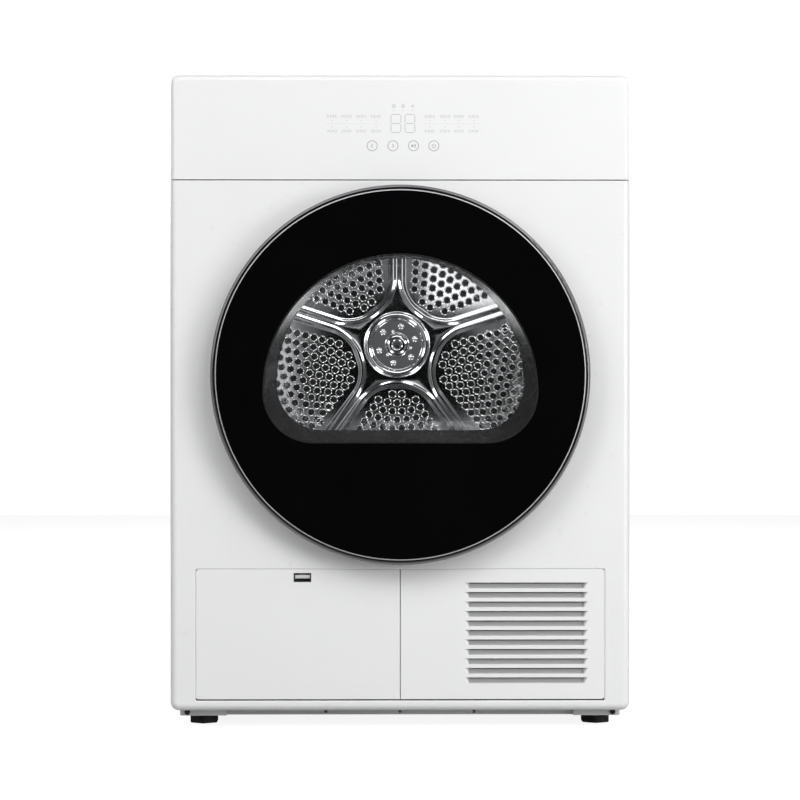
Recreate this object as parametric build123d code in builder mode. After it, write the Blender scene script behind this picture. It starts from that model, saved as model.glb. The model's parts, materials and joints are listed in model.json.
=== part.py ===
"""Front-loading heat-pump clothes dryer, 595 mm wide and 845 mm tall.

Millimetres, +Z up, the front faces -Y, and the origin is the middle of the footprint on the floor.
Each function makes one piece and returns it. The list at the end names the pieces and writes them.
"""

import math
import os

from build123d import *

# ---------------------------------------------------------------- driving dimensions
WIDTH = 595.0
HEIGHT = 845.0
FACE_Y = -286.0  # front face of the front panel and the control fascia
DOOR_Y = -320.0  # front face of the door
REAR_Y = 298.0  # outer face of the rear panel
DUCT_Y = 320.0  # outer face of the rear duct cover
HALF = WIDTH / 2

SEAM_Z = 709.5  # seam between the front panel and the fascia above it
SEAM = 1.4
PANEL_LOW = 23.0
CORNER = 11.0  # outer corners seen from the front
EDGE = 9.0  # rounding along the front edges
SKIN = 2.0  # wall of the panels
FLANGE = 1.5  # sheet of the rear duct cover
PAN_DEPTH = 23.8

DRUM_Z = 505.0  # drum axis
DRUM_R = 276.0
DRUM_WALL = 1.2
DRUM_FRONT = -214.0
DRUM_BACK = 230.0
COLLAR_R = 222.0  # mouth of the drum

PORT_Z = 492.0  # loading port
PORT_R = 184.0
PORT_WALL = 6.0

DOOR_Z = 457.5
DOOR_R = 244.0
GLASS_R = 237.5
HINGE_X, HINGE_Y = 233.0, -303.0
HINGE_HALF = 36.0  # half length of the hinge pin
GRIP_HALF = 56.0

# eleven louvres in the grille: ends, top of the first, pitch and height
LOUVRE_X0, LOUVRE_X1 = 83.0, 243.5
LOUVRE_TOP, LOUVRE_PITCH, LOUVRE_HEIGHT = 188.8, 12.28, 7.6
LOUVRES = 11
LOUVRE_DEPTH, LOUVRE_RAMP, LOUVRE_WALL = 6.5, 7.0, 1.3
LOUVRE_SLOT = 1.4  # height of the slit that lets the air through, along the top of each louvre's back

# D-shaped outlines of the window: radius, centre height, height of the flat, corner radius
WINDOW_FRONT = (176.5, 436.0, 370.0, 65.0)
WINDOW_BACK = (159.0, 448.5, 386.5, 58.0)
BOWL_END = (150.0, 449.5, 397.0, 54.0)

LOWER_HALF = 264.0  # lower opening for the flap and the grille
LOWER_LOW, LOWER_HIGH = 38.0, 205.8
GAP = 0.8  # seam at the sides and top of the lower opening
SWING_GAP = 1.7  # seam below the flap, where its lower edge swings past
LIP = 1.5  # rounding round the lower opening
OPENING_CORNER = 2.0  # small, so that the open flap's lower edge passes the corner
COVER_CORNER = 3.4
COVER_THICK = 10.0
LOWER_SEAM = 0.45  # half of the seam between the flap and the grille
FLAP_PIVOT_Y, FLAP_PIVOT_Z = -279.5, 43.5
FLAP_HINGES = (-236.0, -28.0)
FLAP_PIN_R = 2.0
LATCH_X, LATCH_Z = -126.5, 195.6

TRAY_HALF = 287.0
TRAY_FRONT, TRAY_REAR = -262.0, 296.0
TRAY_LOW = 14.0
TRAY_WALL = 3.0
RECESS_HALF, RECESS_DEPTH, RECESS_TOP = 226.0, 10.0, 26.0  # step under the tray's front edge
PLINTH_HOLE = 97.0
PLINTH_Z = 17.6
SCREW_X, SCREW_Z = 277.0, 18.8
FOOT_X = 258.0
FOOT_FRONT_Y, FOOT_REAR_Y = -216.0, 250.0
FOOT_R = 20.4  # corners of the hexagonal foot
STUD_R = 4.0
RUNNING = 0.05  # radial clearance of a shaft in its bore

MOTOR_X, MOTOR_Z = 175.0, 112.0
MOTOR_FRONT, MOTOR_BACK = 118.0, 206.0
MOTOR_R = 60.0
ROTOR_SHAFT_R = 6.0
FAN_FRONT, FAN_BACK = 214.0, 272.0
FAN_R = 68.0
BELT_Y = 95.0
BELT_WIDTH, BELT_THICK = 9.0, 2.5
PULLEY_R = 10.0
IDLER_R = 18.0
IDLER_X, IDLER_Z = 105.0, 150.0
ARM_X, ARM_Z = 150.0, 58.0
TOUCH = 0.3  # gap left where round surfaces run on each other
ROLLER_R = 30.0
ROLLER_ANGLE = 32.0  # each roller's angle from straight below the drum
ROLLER_Y = -173.0
ROLLER_WIDTH = 20.0
AXLE_R = 5.0

SHAFT_R = 10.0  # shaft behind the drum

EXCHANGER_X0, EXCHANGER_X1 = -119.0, -7.0
EXCHANGER_LOW, EXCHANGER_HIGH = 50.0, 196.0
LEVER_X, LEVER_Z = -63.0, 150.0
TANK_X0, TANK_X1 = -258.0, -128.0
TANK_Y0, TANK_Y1 = -268.0, 20.0
TANK_LOW, TANK_HIGH = 50.0, 190.0
COMPRESSOR_X, COMPRESSOR_Y = 186.0, -120.0
DRAIN_X, DRAIN_Z = -202.0, 45.0

# places that follow from the driving dimensions
FEET = (
    (-FOOT_X, FOOT_FRONT_Y),
    (FOOT_X, FOOT_FRONT_Y),
    (-FOOT_X, FOOT_REAR_Y),
    (FOOT_X, FOOT_REAR_Y),
)
COMPRESSOR_POSTS = (
    (COMPRESSOR_X - 62, COMPRESSOR_Y - 36),
    (COMPRESSOR_X + 62, COMPRESSOR_Y - 36),
    (COMPRESSOR_X, COMPRESSOR_Y + 72),
)
ROLLER_REACH = DRUM_R + ROLLER_R + TOUCH
ROLLERS = tuple(
    (
        side * ROLLER_REACH * math.sin(math.radians(ROLLER_ANGLE)),
        DRUM_Z - ROLLER_REACH * math.cos(math.radians(ROLLER_ANGLE)),
    )
    for side in (-1, 1)
)


# ---------------------------------------------------------------- shared shapes
def face_plane(y):
    """Sketch plane at depth y, seen from the front: local x is +X, local y is +Z, normal is -Y."""
    return Plane(origin=(0, y, 0), x_dir=(1, 0, 0), z_dir=(0, -1, 0))


def block(x, y, z, mode=Mode.ADD):
    """A plain block between the given (low, high) pairs."""
    middle = [(low + high) / 2 for low, high in (x, y, z)]
    with Locations(Vector(*middle)):
        Box(x[1] - x[0], y[1] - y[0], z[1] - z[0], mode=mode)


def cut_block(x, y, z):
    """Removes a plain block from the piece being built."""
    block(x, y, z, mode=Mode.SUBTRACT)


def disc(x, z, radius, y0, y1, mode=Mode.ADD):
    """A cylinder along Y between depths y0 and y1."""
    with Locations(Location((x, y1, z), (90, 0, 0))):
        Cylinder(radius, y1 - y0, align=(Align.CENTER, Align.CENTER, Align.MIN), mode=mode)


def post(x, y, radius, z0, z1, mode=Mode.ADD):
    """A cylinder along Z between heights z0 and z1."""
    with Locations((x, y, z0)):
        Cylinder(radius, z1 - z0, align=(Align.CENTER, Align.CENTER, Align.MIN), mode=mode)


def soft_block(half, low, high, front, back, corner, edge, square_at_top):
    """A block with rounded front edges. One side, top or bottom, stays square for a seam."""
    with BuildPart() as body:
        with BuildSketch(face_plane(front)):
            with Locations((0, (low + high) / 2)):
                Rectangle(2 * half, high - low)
        extrude(amount=front - back)
        ends = body.edges().filter_by(Axis.Y).group_by(Axis.Z)
        fillet(ends[0] if square_at_top else ends[-1], corner)
        seam = high if square_at_top else low
        rim = body.faces().sort_by(Axis.Y)[0].edges()
        fillet(rim.filter_by(lambda e: abs(e.center().Z - seam) > 1), edge)
    return body.part


def d_shape(radius, centre, flat, corner):
    """A circle cut off flat below, with its two corners rounded."""
    with BuildSketch() as face:
        with Locations((0, centre)):
            Circle(radius)
        with Locations((0, flat)):
            Rectangle(3 * radius, 2 * radius, align=(Align.CENTER, Align.MAX), mode=Mode.SUBTRACT)
        fillet(face.vertices().group_by(Axis.Y)[0], corner)
    return face.sketch


def grown(outline, amount):
    """The D outline made larger all round."""
    radius, centre, flat, corner = outline
    return (radius + amount, centre, flat - amount, corner + amount)


def d_loft(outline_a, y_a, outline_b, y_b):
    """A solid that runs from one D outline to another."""
    with BuildPart() as body:
        with BuildSketch(face_plane(y_a)):
            add(d_shape(*outline_a))
        with BuildSketch(face_plane(y_b)):
            add(d_shape(*outline_b))
        loft()
    return body.part


def d_plate(outline, y0, y1):
    """A flat plate with a D outline."""
    with BuildPart() as body:
        with BuildSketch(face_plane(y1)):
            add(d_shape(*outline))
        extrude(amount=y1 - y0)
    return body.part


# ---------------------------------------------------------------- cabinet
def front_panel():
    outer = soft_block(HALF, PANEL_LOW, SEAM_Z - SEAM / 2, FACE_Y, FACE_Y + PAN_DEPTH, CORNER, EDGE, True)
    inner = soft_block(
        HALF - SKIN,
        PANEL_LOW + SKIN,
        SEAM_Z - SEAM / 2 - SKIN,
        FACE_Y + SKIN,
        FACE_Y + PAN_DEPTH + 1,
        CORNER - SKIN,
        EDGE - SKIN,
        True,
    )
    collar = 2.5  # the lower opening's collar stands this far outside its edge
    low, high = LOWER_LOW - SWING_GAP, LOWER_HIGH + GAP
    middle = (low + high) / 2
    back = FACE_Y + PAN_DEPTH - 3.5
    post_depth = 4.5
    with BuildPart() as panel:
        add(outer)
        add(inner, mode=Mode.SUBTRACT)
        with BuildSketch(face_plane(back)):
            with Locations((0, middle)):
                RectangleRounded(
                    2 * (LOWER_HALF + GAP + collar + 1.5),
                    high - low + 2 * (collar + 1.5),
                    OPENING_CORNER + collar + 1.5,
                )
                RectangleRounded(
                    2 * (LOWER_HALF + GAP + collar),
                    high - low + 2 * collar,
                    OPENING_CORNER + collar,
                    mode=Mode.SUBTRACT,
                )
        extrude(amount=back - FACE_Y - 1)
        with BuildSketch(face_plane(back)):
            with Locations((0, middle)):
                RectangleRounded(2 * (LOWER_HALF + GAP), high - low, OPENING_CORNER)
        extrude(amount=back - FACE_Y + 1, mode=Mode.SUBTRACT)
        fillet(panel.faces().sort_by(Axis.Y)[0].inner_wires()[0].edges(), LIP)
        # post behind the seam between the flap and the grille
        block((-6, 6), (back - post_depth, back), (low - collar, high + collar))
        # round opening for the loading port, and the slot that the door hook enters
        disc(0, PORT_Z, PORT_R + PORT_WALL + 0.2, FACE_Y - 1, back, mode=Mode.SUBTRACT)
        cut_block((-226, -202), (FACE_Y - 1, FACE_Y + SKIN + 1), (DOOR_Z - 17, DOOR_Z + 17))
    return panel.part


def control_fascia():
    low = SEAM_Z + SEAM / 2
    back = FACE_Y + PAN_DEPTH
    wall = 2.5
    outer = soft_block(HALF - 0.8, low, HEIGHT, FACE_Y, back, CORNER, 7.0, False)
    inner = soft_block(
        HALF - 0.8 - wall, low + wall, HEIGHT - wall, FACE_Y + wall, back + 1, CORNER - wall, 4.5, False
    )
    with BuildPart() as fascia:
        add(outer)
        add(inner, mode=Mode.SUBTRACT)
    return fascia.part


def control_board():
    """Printed board with its display, the four touch sensors behind the fascia, and their posts."""
    with BuildPart() as board:
        block((-150, 150), (-277, -275.4), (738, 812))
        block((-26, 26), (-281.5, -277), (772, 792))
        for x in (-36, -9, 18, 45):
            disc(x, 753.5, 6.5, FACE_Y + 2.5, -277)
        for x in (-130, 130):
            block((x - 16, x + 16), (-275.4, -262), (748, 786))
        for x in (-142, 142):
            for z in (744, 806):
                disc(x, z, 3, FACE_Y + 2.5, -277)
    return board.part


def top_cover():
    low, front, back = 822.0, -261.7, 300.0
    with BuildPart() as cover:
        block((-HALF, HALF), (front, back), (low, HEIGHT))
        fillet(cover.edges().filter_by(Axis.Z).group_by(Axis.Y)[-1], 9)
        rim = cover.faces().sort_by(Axis.Z)[-1].edges()
        fillet(rim.filter_by(lambda e: e.center().Y > front + 1), 4)
        cut_block((-HALF + SKIN, HALF - SKIN), (front + SKIN, back - SKIN), (low - 1, HEIGHT - SKIN))
        for x in (-150, 0, 150):
            block((x - 1, x + 1), (front + SKIN, back - SKIN), (low + 4, HEIGHT - SKIN))
    return cover.part


def side_panel(side):
    """Steel side with a pressed field, and a flange at its front and rear."""
    low, high, front, back = 24.0, 821.5, -261.4, 296.0
    out, sheet, press = HALF - 0.2, 1.2, 1.5
    with BuildPart() as panel:
        block((out - press - sheet, out - press), (front, back), (low, high))
        with BuildSketch(Plane.YZ.offset(out - press)):
            with Locations(((front + back) / 2, (low + high) / 2)):
                RectangleRounded(430, 660, 30)
        extrude(amount=press, taper=35)
        with BuildSketch(Plane.YZ.offset(out - press - sheet - 1)):
            with Locations(((front + back) / 2, (low + high) / 2)):
                RectangleRounded(427, 657, 28.5)
        extrude(amount=press + 1, mode=Mode.SUBTRACT)
        for y0, y1 in ((front, front + sheet), (back - sheet, back)):
            block((out - 9.8, out - press - sheet), (y0, y1), (low, high))
        if side < 0:
            mirror(about=Plane.YZ, mode=Mode.REPLACE)
    return panel.part


def duct_outline(shrink):
    """Air channel on the back: a round field about the drum axis and a channel down to the fan."""
    with BuildSketch() as outline:
        with Locations((0, DRUM_Z)):
            Circle(170 - shrink)
        with BuildLine():
            Polyline(
                (196 + shrink, 190 + shrink),
                (268 - shrink, 190 + shrink),
                (268 - shrink, 300),
                (148 - shrink, 580),
                (-90 + shrink, 380),
                (60 + shrink, 356),
                close=True,
            )
        make_face()
    return outline.sketch


def rear_panel():
    sheet = 2.0
    front = REAR_Y - sheet
    holes = 14
    with BuildPart() as panel:
        block((-292, 292), (front, REAR_Y), (70.5, 821))
        with BuildSketch(face_plane(REAR_Y + 1)):
            for radius, count in ((75, holes), (105, holes), (135, 2 * holes)):
                with Locations((0, DRUM_Z)):
                    with PolarLocations(radius, count):
                        Circle(9)
            with Locations((0, DRUM_Z)):
                Circle(26)
            with Locations((231, 222)):
                RectangleRounded(56, 46, 6)
        extrude(amount=sheet + 2, mode=Mode.SUBTRACT)
        # cooling slots low down on the left, and the cable gland's hole low down on the right
        with BuildSketch(face_plane(REAR_Y + 1)):
            with Locations((-170, 140)):
                with GridLocations(0, 14, 1, 7):
                    SlotOverall(150, 6)
            with Locations((-262, 100)):
                Circle(11.2)
        extrude(amount=sheet + 2, mode=Mode.SUBTRACT)
    return panel.part


def rear_duct_cover():
    wall = 1.5
    with BuildPart() as cover:
        with BuildSketch(face_plane(REAR_Y)):
            add(duct_outline(0))
        extrude(amount=REAR_Y - DUCT_Y)
        with BuildSketch(face_plane(REAR_Y)):
            add(duct_outline(-18))
        extrude(amount=-FLANGE)
        with BuildSketch(face_plane(REAR_Y - 1)):
            add(duct_outline(wall))
        extrude(amount=REAR_Y - DUCT_Y - 1 + wall, mode=Mode.SUBTRACT)
    return cover.part


def base_tray():
    """Moulded tray that carries the machinery, with a boss over each foot and rails under the parts."""
    floor = TRAY_LOW + TRAY_WALL
    side_top = 70.0
    front_top = 34.0
    with BuildPart() as tray:
        block((-TRAY_HALF, TRAY_HALF), (TRAY_FRONT, TRAY_REAR), (TRAY_LOW, side_top))
        fillet(tray.edges().filter_by(Axis.Z), 7)
        cut_block(
            (-TRAY_HALF + TRAY_WALL, TRAY_HALF - TRAY_WALL),
            (TRAY_FRONT + TRAY_WALL, TRAY_REAR - TRAY_WALL),
            (floor, side_top + 1),
        )
        cut_block(
            (-TRAY_HALF - 1, TRAY_HALF + 1),
            (TRAY_FRONT - 1, TRAY_FRONT + 12),
            (front_top, side_top + 1),
        )
        rails = (
            ((-250, -246), (-255, 15), TANK_LOW),
            ((-144, -140), (-255, 15), TANK_LOW),
            ((-110, -106), (-250, 250), EXCHANGER_LOW),
            ((-20, -16), (-250, 250), EXCHANGER_LOW),
            ((120, 124), (216, 270), 42.5),
            ((226, 230), (216, 270), 42.5),
        )
        # step under the front edge, closed behind and above
        step_back = TRAY_FRONT + RECESS_DEPTH
        block(
            (-RECESS_HALF, RECESS_HALF),
            (TRAY_FRONT, step_back + TRAY_WALL),
            (TRAY_LOW, RECESS_TOP + TRAY_WALL),
        )
        for x, y, top in rails:
            block(x, y, (floor, top))
        cut_block((-RECESS_HALF, RECESS_HALF), (TRAY_FRONT - 1, step_back), (TRAY_LOW - 1, RECESS_TOP))
        for x, y in FEET:
            post(x, y, 15, TRAY_LOW, 42)
            post(x, y, STUD_R + RUNNING, TRAY_LOW - 1, 43, mode=Mode.SUBTRACT)
        for x, y in COMPRESSOR_POSTS:
            post(x, y, 10, floor, 32)
        # row of fixing holes in the step's wall
        with BuildSketch(face_plane(step_back + TRAY_WALL + 1)):
            with Locations((-PLINTH_HOLE, PLINTH_Z), (0, PLINTH_Z), (PLINTH_HOLE, PLINTH_Z)):
                Circle(2.1)
        extrude(amount=TRAY_WALL + 2, mode=Mode.SUBTRACT)
        # eyes that reach forward through the lower opening and carry the flap's pins
        for x in FLAP_HINGES:
            with BuildSketch(Plane.YZ.offset(x - 3.4)):
                with Locations((FLAP_PIVOT_Y, FLAP_PIVOT_Z)):
                    Circle(3.9)
                with BuildLine():
                    Polyline(
                        (FLAP_PIVOT_Y, FLAP_PIVOT_Z + 3.9),
                        (FLAP_PIVOT_Y + 3.0, FLAP_PIVOT_Z - 2.5),
                        (-269.0, 40.4),
                        (-264.0, 35.4),
                        (-261.0, 35.4),
                        (-261.0, 47.4),
                        close=True,
                    )
                make_face()
                with Locations((FLAP_PIVOT_Y, FLAP_PIVOT_Z)):
                    Circle(FLAP_PIN_R + RUNNING, mode=Mode.SUBTRACT)
            extrude(amount=6.8)
            block((x - 12, x + 12), (TRAY_FRONT, TRAY_FRONT + TRAY_WALL), (30, 47.4))
        # spout for the drain hose
        disc(DRAIN_X, DRAIN_Z, 14, TRAY_REAR, TRAY_REAR + 4)
        disc(DRAIN_X, DRAIN_Z, 9, TRAY_REAR + 4, TRAY_REAR + 23)
        disc(DRAIN_X, DRAIN_Z, 6.5, TRAY_REAR - TRAY_WALL - 1, TRAY_REAR + 24, mode=Mode.SUBTRACT)
    return tray.part


def levelling_foot(x, y):
    """Hexagonal foot with a point to the front, on a threaded stud."""
    with BuildPart() as foot:
        with BuildSketch(Plane.XY):
            with Locations((x, y)):
                RegularPolygon(FOOT_R, 6, rotation=30)
        extrude(amount=11)
        fillet(foot.edges().filter_by(Axis.Z), 2)
        chamfer(foot.edges().group_by(Axis.Z)[0], 1.2)
        post(x, y, STUD_R, 11, 41)
        post(x, y, 8, 11, 13.4)
    return foot.part


def cabinet_screws():
    """Two screws low at the front, and the ring of screws that hold the duct cover."""
    with BuildPart() as screws:
        for x in (-SCREW_X, SCREW_X):
            disc(x, SCREW_Z, 3.6, TRAY_FRONT - 2.4, TRAY_FRONT)
            disc(x, SCREW_Z, 1.8, TRAY_FRONT - 3, TRAY_FRONT - 1.2, mode=Mode.SUBTRACT)
        with Locations(Location((0, REAR_Y + FLANGE, DRUM_Z), (-90, 0, 0))):
            with PolarLocations(180, 6, start_angle=-225, angular_range=240):
                Cylinder(4.5, 2.6, align=(Align.CENTER, Align.CENTER, Align.MIN))
    return screws.part


def louvre(grow, front, depth):
    """One louvre as a solid, from the plane `front` to `depth` behind the face. Its ends slope inwards."""
    low = LOUVRE_TOP - LOUVRE_HEIGHT
    with BuildPart() as hollow:
        with BuildSketch(face_plane(front)):
            Polygon(
                (LOUVRE_X0 - grow, LOUVRE_TOP + grow),
                (LOUVRE_X1 + grow, LOUVRE_TOP + grow),
                (LOUVRE_X1 - 5 + grow, low - grow),
                (LOUVRE_X0 + 5 - grow, low - grow),
                align=None,
            )
        with BuildSketch(face_plane(FACE_Y + depth)):
            Polygon(
                (LOUVRE_X0 + LOUVRE_RAMP - grow, LOUVRE_TOP + grow),
                (LOUVRE_X1 - LOUVRE_RAMP + grow, LOUVRE_TOP + grow),
                (LOUVRE_X1 - LOUVRE_RAMP + grow, low + 0.8 - grow),
                (LOUVRE_X0 + LOUVRE_RAMP - grow, low + 0.8 - grow),
                align=None,
            )
        loft(ruled=True)
    return hollow.part


def lower_grille():
    """Right half of the lower cover, with its row of pressed louvres, each open along its top."""
    x0, x1 = LOWER_SEAM, LOWER_HALF
    back = FACE_Y + COVER_THICK
    wall = louvre(LOUVRE_WALL, FACE_Y + 0.5, LOUVRE_DEPTH)
    hollow = louvre(0.0, FACE_Y - 0.01, LOUVRE_DEPTH - LOUVRE_WALL)
    rows = [(0, 0, -i * LOUVRE_PITCH) for i in range(LOUVRES)]
    with BuildPart() as grille:
        block((x0, x1), (FACE_Y, back), (LOWER_LOW, LOWER_HIGH))
        fillet(grille.edges().filter_by(Axis.Y).group_by(Axis.X)[-1], COVER_CORNER)
        chamfer(grille.faces().sort_by(Axis.Y)[0].edges(), 0.5)
        cut_block((x0 + SKIN, x1 - SKIN), (FACE_Y + SKIN, back + 1), (LOWER_LOW + SKIN, LOWER_HIGH - SKIN))
        with Locations(*rows):
            add(wall)
        with Locations(*rows):
            add(hollow, mode=Mode.SUBTRACT)
        for _, _, drop in rows:
            cut_block(
                (LOUVRE_X0 + LOUVRE_RAMP, LOUVRE_X1 - LOUVRE_RAMP),
                (FACE_Y + LOUVRE_DEPTH - 2 * LOUVRE_WALL, FACE_Y + LOUVRE_DEPTH + 1),
                (LOUVRE_TOP - LOUVRE_SLOT + drop, LOUVRE_TOP + drop),
            )
        rims = grille.faces().sort_by(Axis.Y)[0].inner_wires()
        fillet([edge for rim in rims for edge in rim.edges()], 0.6)
    return grille.part


# ---------------------------------------------------------------- flap over the service bay
def flap_panel():
    """Left half of the lower cover, hinged along its lower edge."""
    x0, x1 = -LOWER_HALF, -LOWER_SEAM
    back = FACE_Y + COVER_THICK
    with BuildPart() as flap:
        block((x0, x1), (FACE_Y, back), (LOWER_LOW, LOWER_HIGH))
        fillet(flap.edges().filter_by(Axis.Y).group_by(Axis.X)[0], COVER_CORNER)
        chamfer(flap.faces().sort_by(Axis.Y)[0].edges(), 0.5)
        fillet(flap.edges().filter_by(Axis.X).sort_by(Axis.Z)[0], 1.5)
        cut_block((x0 + SKIN, x1 - SKIN), (FACE_Y + SKIN, back + 1), (LOWER_LOW + SKIN, LOWER_HIGH - SKIN))
        # stiffening ribs behind the skin
        for x in (-196, -66):
            block((x - 1, x + 1), (FACE_Y + SKIN, back), (60, LOWER_HIGH - SKIN))
        # opening for the latch, and a notch for its bolt in the upper wall
        cut_block(
            (LATCH_X - 11.4, LATCH_X + 11.4),
            (FACE_Y - 1, FACE_Y + SKIN + 1),
            (LATCH_Z - 5.9, LATCH_Z + 5.9),
        )
        cut_block((LATCH_X - 4.6, LATCH_X + 4.6), (FACE_Y + SKIN, back + 1), (LATCH_Z + 5.9, LOWER_HIGH + 1))
        # each hinge: two cheeks that hold a pin, and a notch between them for the bracket
        for x in FLAP_HINGES:
            for side in (-1, 1):
                low, high = sorted((x + side * 4.0, x + side * 7.0))
                block((low, high), (FACE_Y + SKIN, back), (LOWER_LOW + SKIN, LOWER_LOW + 12))
            cut_block((x - 4, x + 4), (FACE_Y + SKIN, back + 1), (LOWER_LOW - 1, LOWER_LOW + SKIN))
        for x in FLAP_HINGES:
            with Locations(Location((x, FLAP_PIVOT_Y, FLAP_PIVOT_Z), (0, 90, 0))):
                Cylinder(FLAP_PIN_R, 14)
    return flap.part


def latch_housing():
    """Dark recess in the flap that the latch tab slides in."""
    half_x, half_z, wall = 11.2, 5.7, 1.2
    back = FACE_Y + 8
    with BuildPart() as housing:
        block(
            (LATCH_X - half_x, LATCH_X + half_x),
            (FACE_Y + 0.2, back),
            (LATCH_Z - half_z, LATCH_Z + half_z),
        )
        cut_block(
            (LATCH_X - half_x + wall, LATCH_X + half_x - wall),
            (FACE_Y, back - wall),
            (LATCH_Z - half_z + wall, LATCH_Z + half_z - wall),
        )
        cut_block((LATCH_X - 4.3, LATCH_X + 4.3), (FACE_Y + 4, back - wall), (LATCH_Z, LATCH_Z + half_z + 1))
    return housing.part


def latch_tab():
    """Tab that a finger pushes down, with the bolt that keeps the flap shut."""
    with BuildPart() as tab:
        block((LATCH_X - 9.6, LATCH_X + 9.6), (FACE_Y + 1.2, FACE_Y + 4.4), (LATCH_Z - 1.4, LATCH_Z + 3.4))
        chamfer(tab.faces().sort_by(Axis.Y)[0].edges(), 0.6)
        block((LATCH_X - 4, LATCH_X + 4), (FACE_Y + 4.4, FACE_Y + 6.4), (LATCH_Z - 1.4, LOWER_HIGH + 0.8))
    return tab.part


# ---------------------------------------------------------------- front structure and loading port
def front_bulkhead():
    """Steel plate behind the front panel. It holds the loading port and both roller axles."""
    y0, y1 = -258.2, -256.2
    with BuildPart() as bulkhead:
        block((-287, 287), (y0, y1), (214, 800))
        fillet(bulkhead.edges().filter_by(Axis.Y), 20)
        disc(0, PORT_Z, PORT_R + PORT_WALL + 0.2, y0 - 1, y1 + 1, mode=Mode.SUBTRACT)
        for x, z in ROLLERS:
            disc(x, z, AXLE_R, y0, ROLLER_Y + ROLLER_WIDTH / 2 + 6)
            disc(x, z, 11, y1, ROLLER_Y - ROLLER_WIDTH / 2 - 1)
        for x0, x1, z0, z1 in ((-260, -126, 216, 226), (112, 260, 216, 226), (-260, 260, 782, 798)):
            block((x0, x1), (y1, y1 + 8), (z0, z1))
    return bulkhead.part


def support_roller(x, z):
    y0, y1 = ROLLER_Y - ROLLER_WIDTH / 2, ROLLER_Y + ROLLER_WIDTH / 2
    with BuildPart() as roller:
        disc(x, z, ROLLER_R, y0, y1)
        disc(x, z, ROLLER_R - 7, y0, y0 + 5, mode=Mode.SUBTRACT)
        disc(x, z, ROLLER_R - 7, y1 - 5, y1, mode=Mode.SUBTRACT)
        disc(x, z, 10, y0, y1)
        disc(x, z, AXLE_R + RUNNING, y0 - 1, y1 + 1, mode=Mode.SUBTRACT)
        fillet(roller.edges().filter_by(GeomType.CIRCLE).filter_by(lambda e: e.radius > ROLLER_R - 1), 1.2)
    return roller.part


def loading_port():
    """Plastic tunnel from the front opening to the drum's mouth, with the lint filter's chute below."""
    front, back = FACE_Y, -216.0
    flange_r = 214.0
    with BuildPart() as port:
        disc(0, PORT_Z, PORT_R + PORT_WALL, front, back)
        disc(0, DRUM_Z, flange_r, back - 3, back)
        disc(0, DRUM_Z, flange_r, back, back + 13)
        disc(0, DRUM_Z, flange_r - 3, back, back + 14, mode=Mode.SUBTRACT)
        block((-104, 104), (-256.2, back - 3), (232, 340))
        disc(0, PORT_Z, PORT_R, front - 1, back + 1, mode=Mode.SUBTRACT)
        cut_block((-101, 101), (-253.2, -222), (231, 345))
        # ledges that the lint filter stands on
        for x in (-97, 97):
            block((x - 4.5, x + 4.5), (-253.7, -221.5), (235, 240))
    return port.part


def port_felt():
    with BuildPart() as felt:
        disc(0, DRUM_Z, COLLAR_R - TOUCH, -215.5, -204)
        disc(0, DRUM_Z, 214.0, -216, -203, mode=Mode.SUBTRACT)
    return felt.part


def door_seal():
    with BuildPart() as seal:
        disc(0, PORT_Z, PORT_R + 13, FACE_Y - 2.6, FACE_Y)
        disc(0, PORT_Z, PORT_R + 1, FACE_Y - 3, FACE_Y + 1, mode=Mode.SUBTRACT)
    return seal.part


def lint_filter():
    """Pull-out filter in the chute: a perforated top with a finger grip, and a mesh pocket below."""
    y0, y1 = -251.0, -224.0
    low, high = 240.0, 312.0
    with BuildPart() as lint:
        block((-97, 97), (y0, y1), (low, high))
        cut_block((-94, 94), (y0 + 2.5, y1 - 2.5), (low + 2.5, high + 1))
        # open windows that the mesh covers, front and rear
        for x in (-70, -23.5, 23.5, 70):
            cut_block((x - 20, x + 20), (y0 - 1, y1 + 1), (low + 8, high - 14))
        block((-94, 94), (y0 + 2.5, y0 + 4), (low + 2.5, high - 12))
        # slotted top that air enters through
        block((-97, 97), (y0, y1), (high - 3, high))
        with BuildSketch(Plane.XY.offset(high - 4)):
            with Locations((0, (y0 + y1) / 2)):
                with GridLocations(11, 0, 16, 1):
                    SlotOverall(18, 4.4, rotation=90)
        extrude(amount=6, mode=Mode.SUBTRACT)
    return lint.part


# ---------------------------------------------------------------- door
def door_outer_ring():
    """Glossy ring round the door. Its back edge is bevelled so that it clears the panel as it opens."""
    front, back = DOOR_Y + 2.5, -290.0
    with BuildPart() as ring:
        disc(0, DOOR_Z, DOOR_R, front, back)
        outer = ring.edges().filter_by(GeomType.CIRCLE)
        fillet(outer.sort_by(Axis.Y)[0], 4.5)
        chamfer(outer.sort_by(Axis.Y)[-1], 5)
        disc(0, DOOR_Z, GLASS_R - 5.5, front - 1, back + 1, mode=Mode.SUBTRACT)
        disc(0, DOOR_Z, GLASS_R + 0.3, front - 1, DOOR_Y + 5, mode=Mode.SUBTRACT)
        # room for the hinge on the right and for fingers on the left
        cut_block((200, 260), (-311, -280), (DOOR_Z - HINGE_HALF - 3, DOOR_Z + HINGE_HALF + 3))
        cut_block((-260, -200), (-306, -280), (DOOR_Z - GRIP_HALF, DOOR_Z + GRIP_HALF))
    return ring.part


def door_glass():
    """Black front plate with a D-shaped hole for the window."""
    hole = d_plate(grown(WINDOW_FRONT, 0.2), DOOR_Y - 1, DOOR_Y + 6)
    with BuildPart() as glass:
        disc(0, DOOR_Z, GLASS_R, DOOR_Y, DOOR_Y + 5)
        chamfer(glass.edges().filter_by(GeomType.CIRCLE).sort_by(Axis.Y)[0], 1.3)
        add(hole, mode=Mode.SUBTRACT)
    return glass.part


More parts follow.
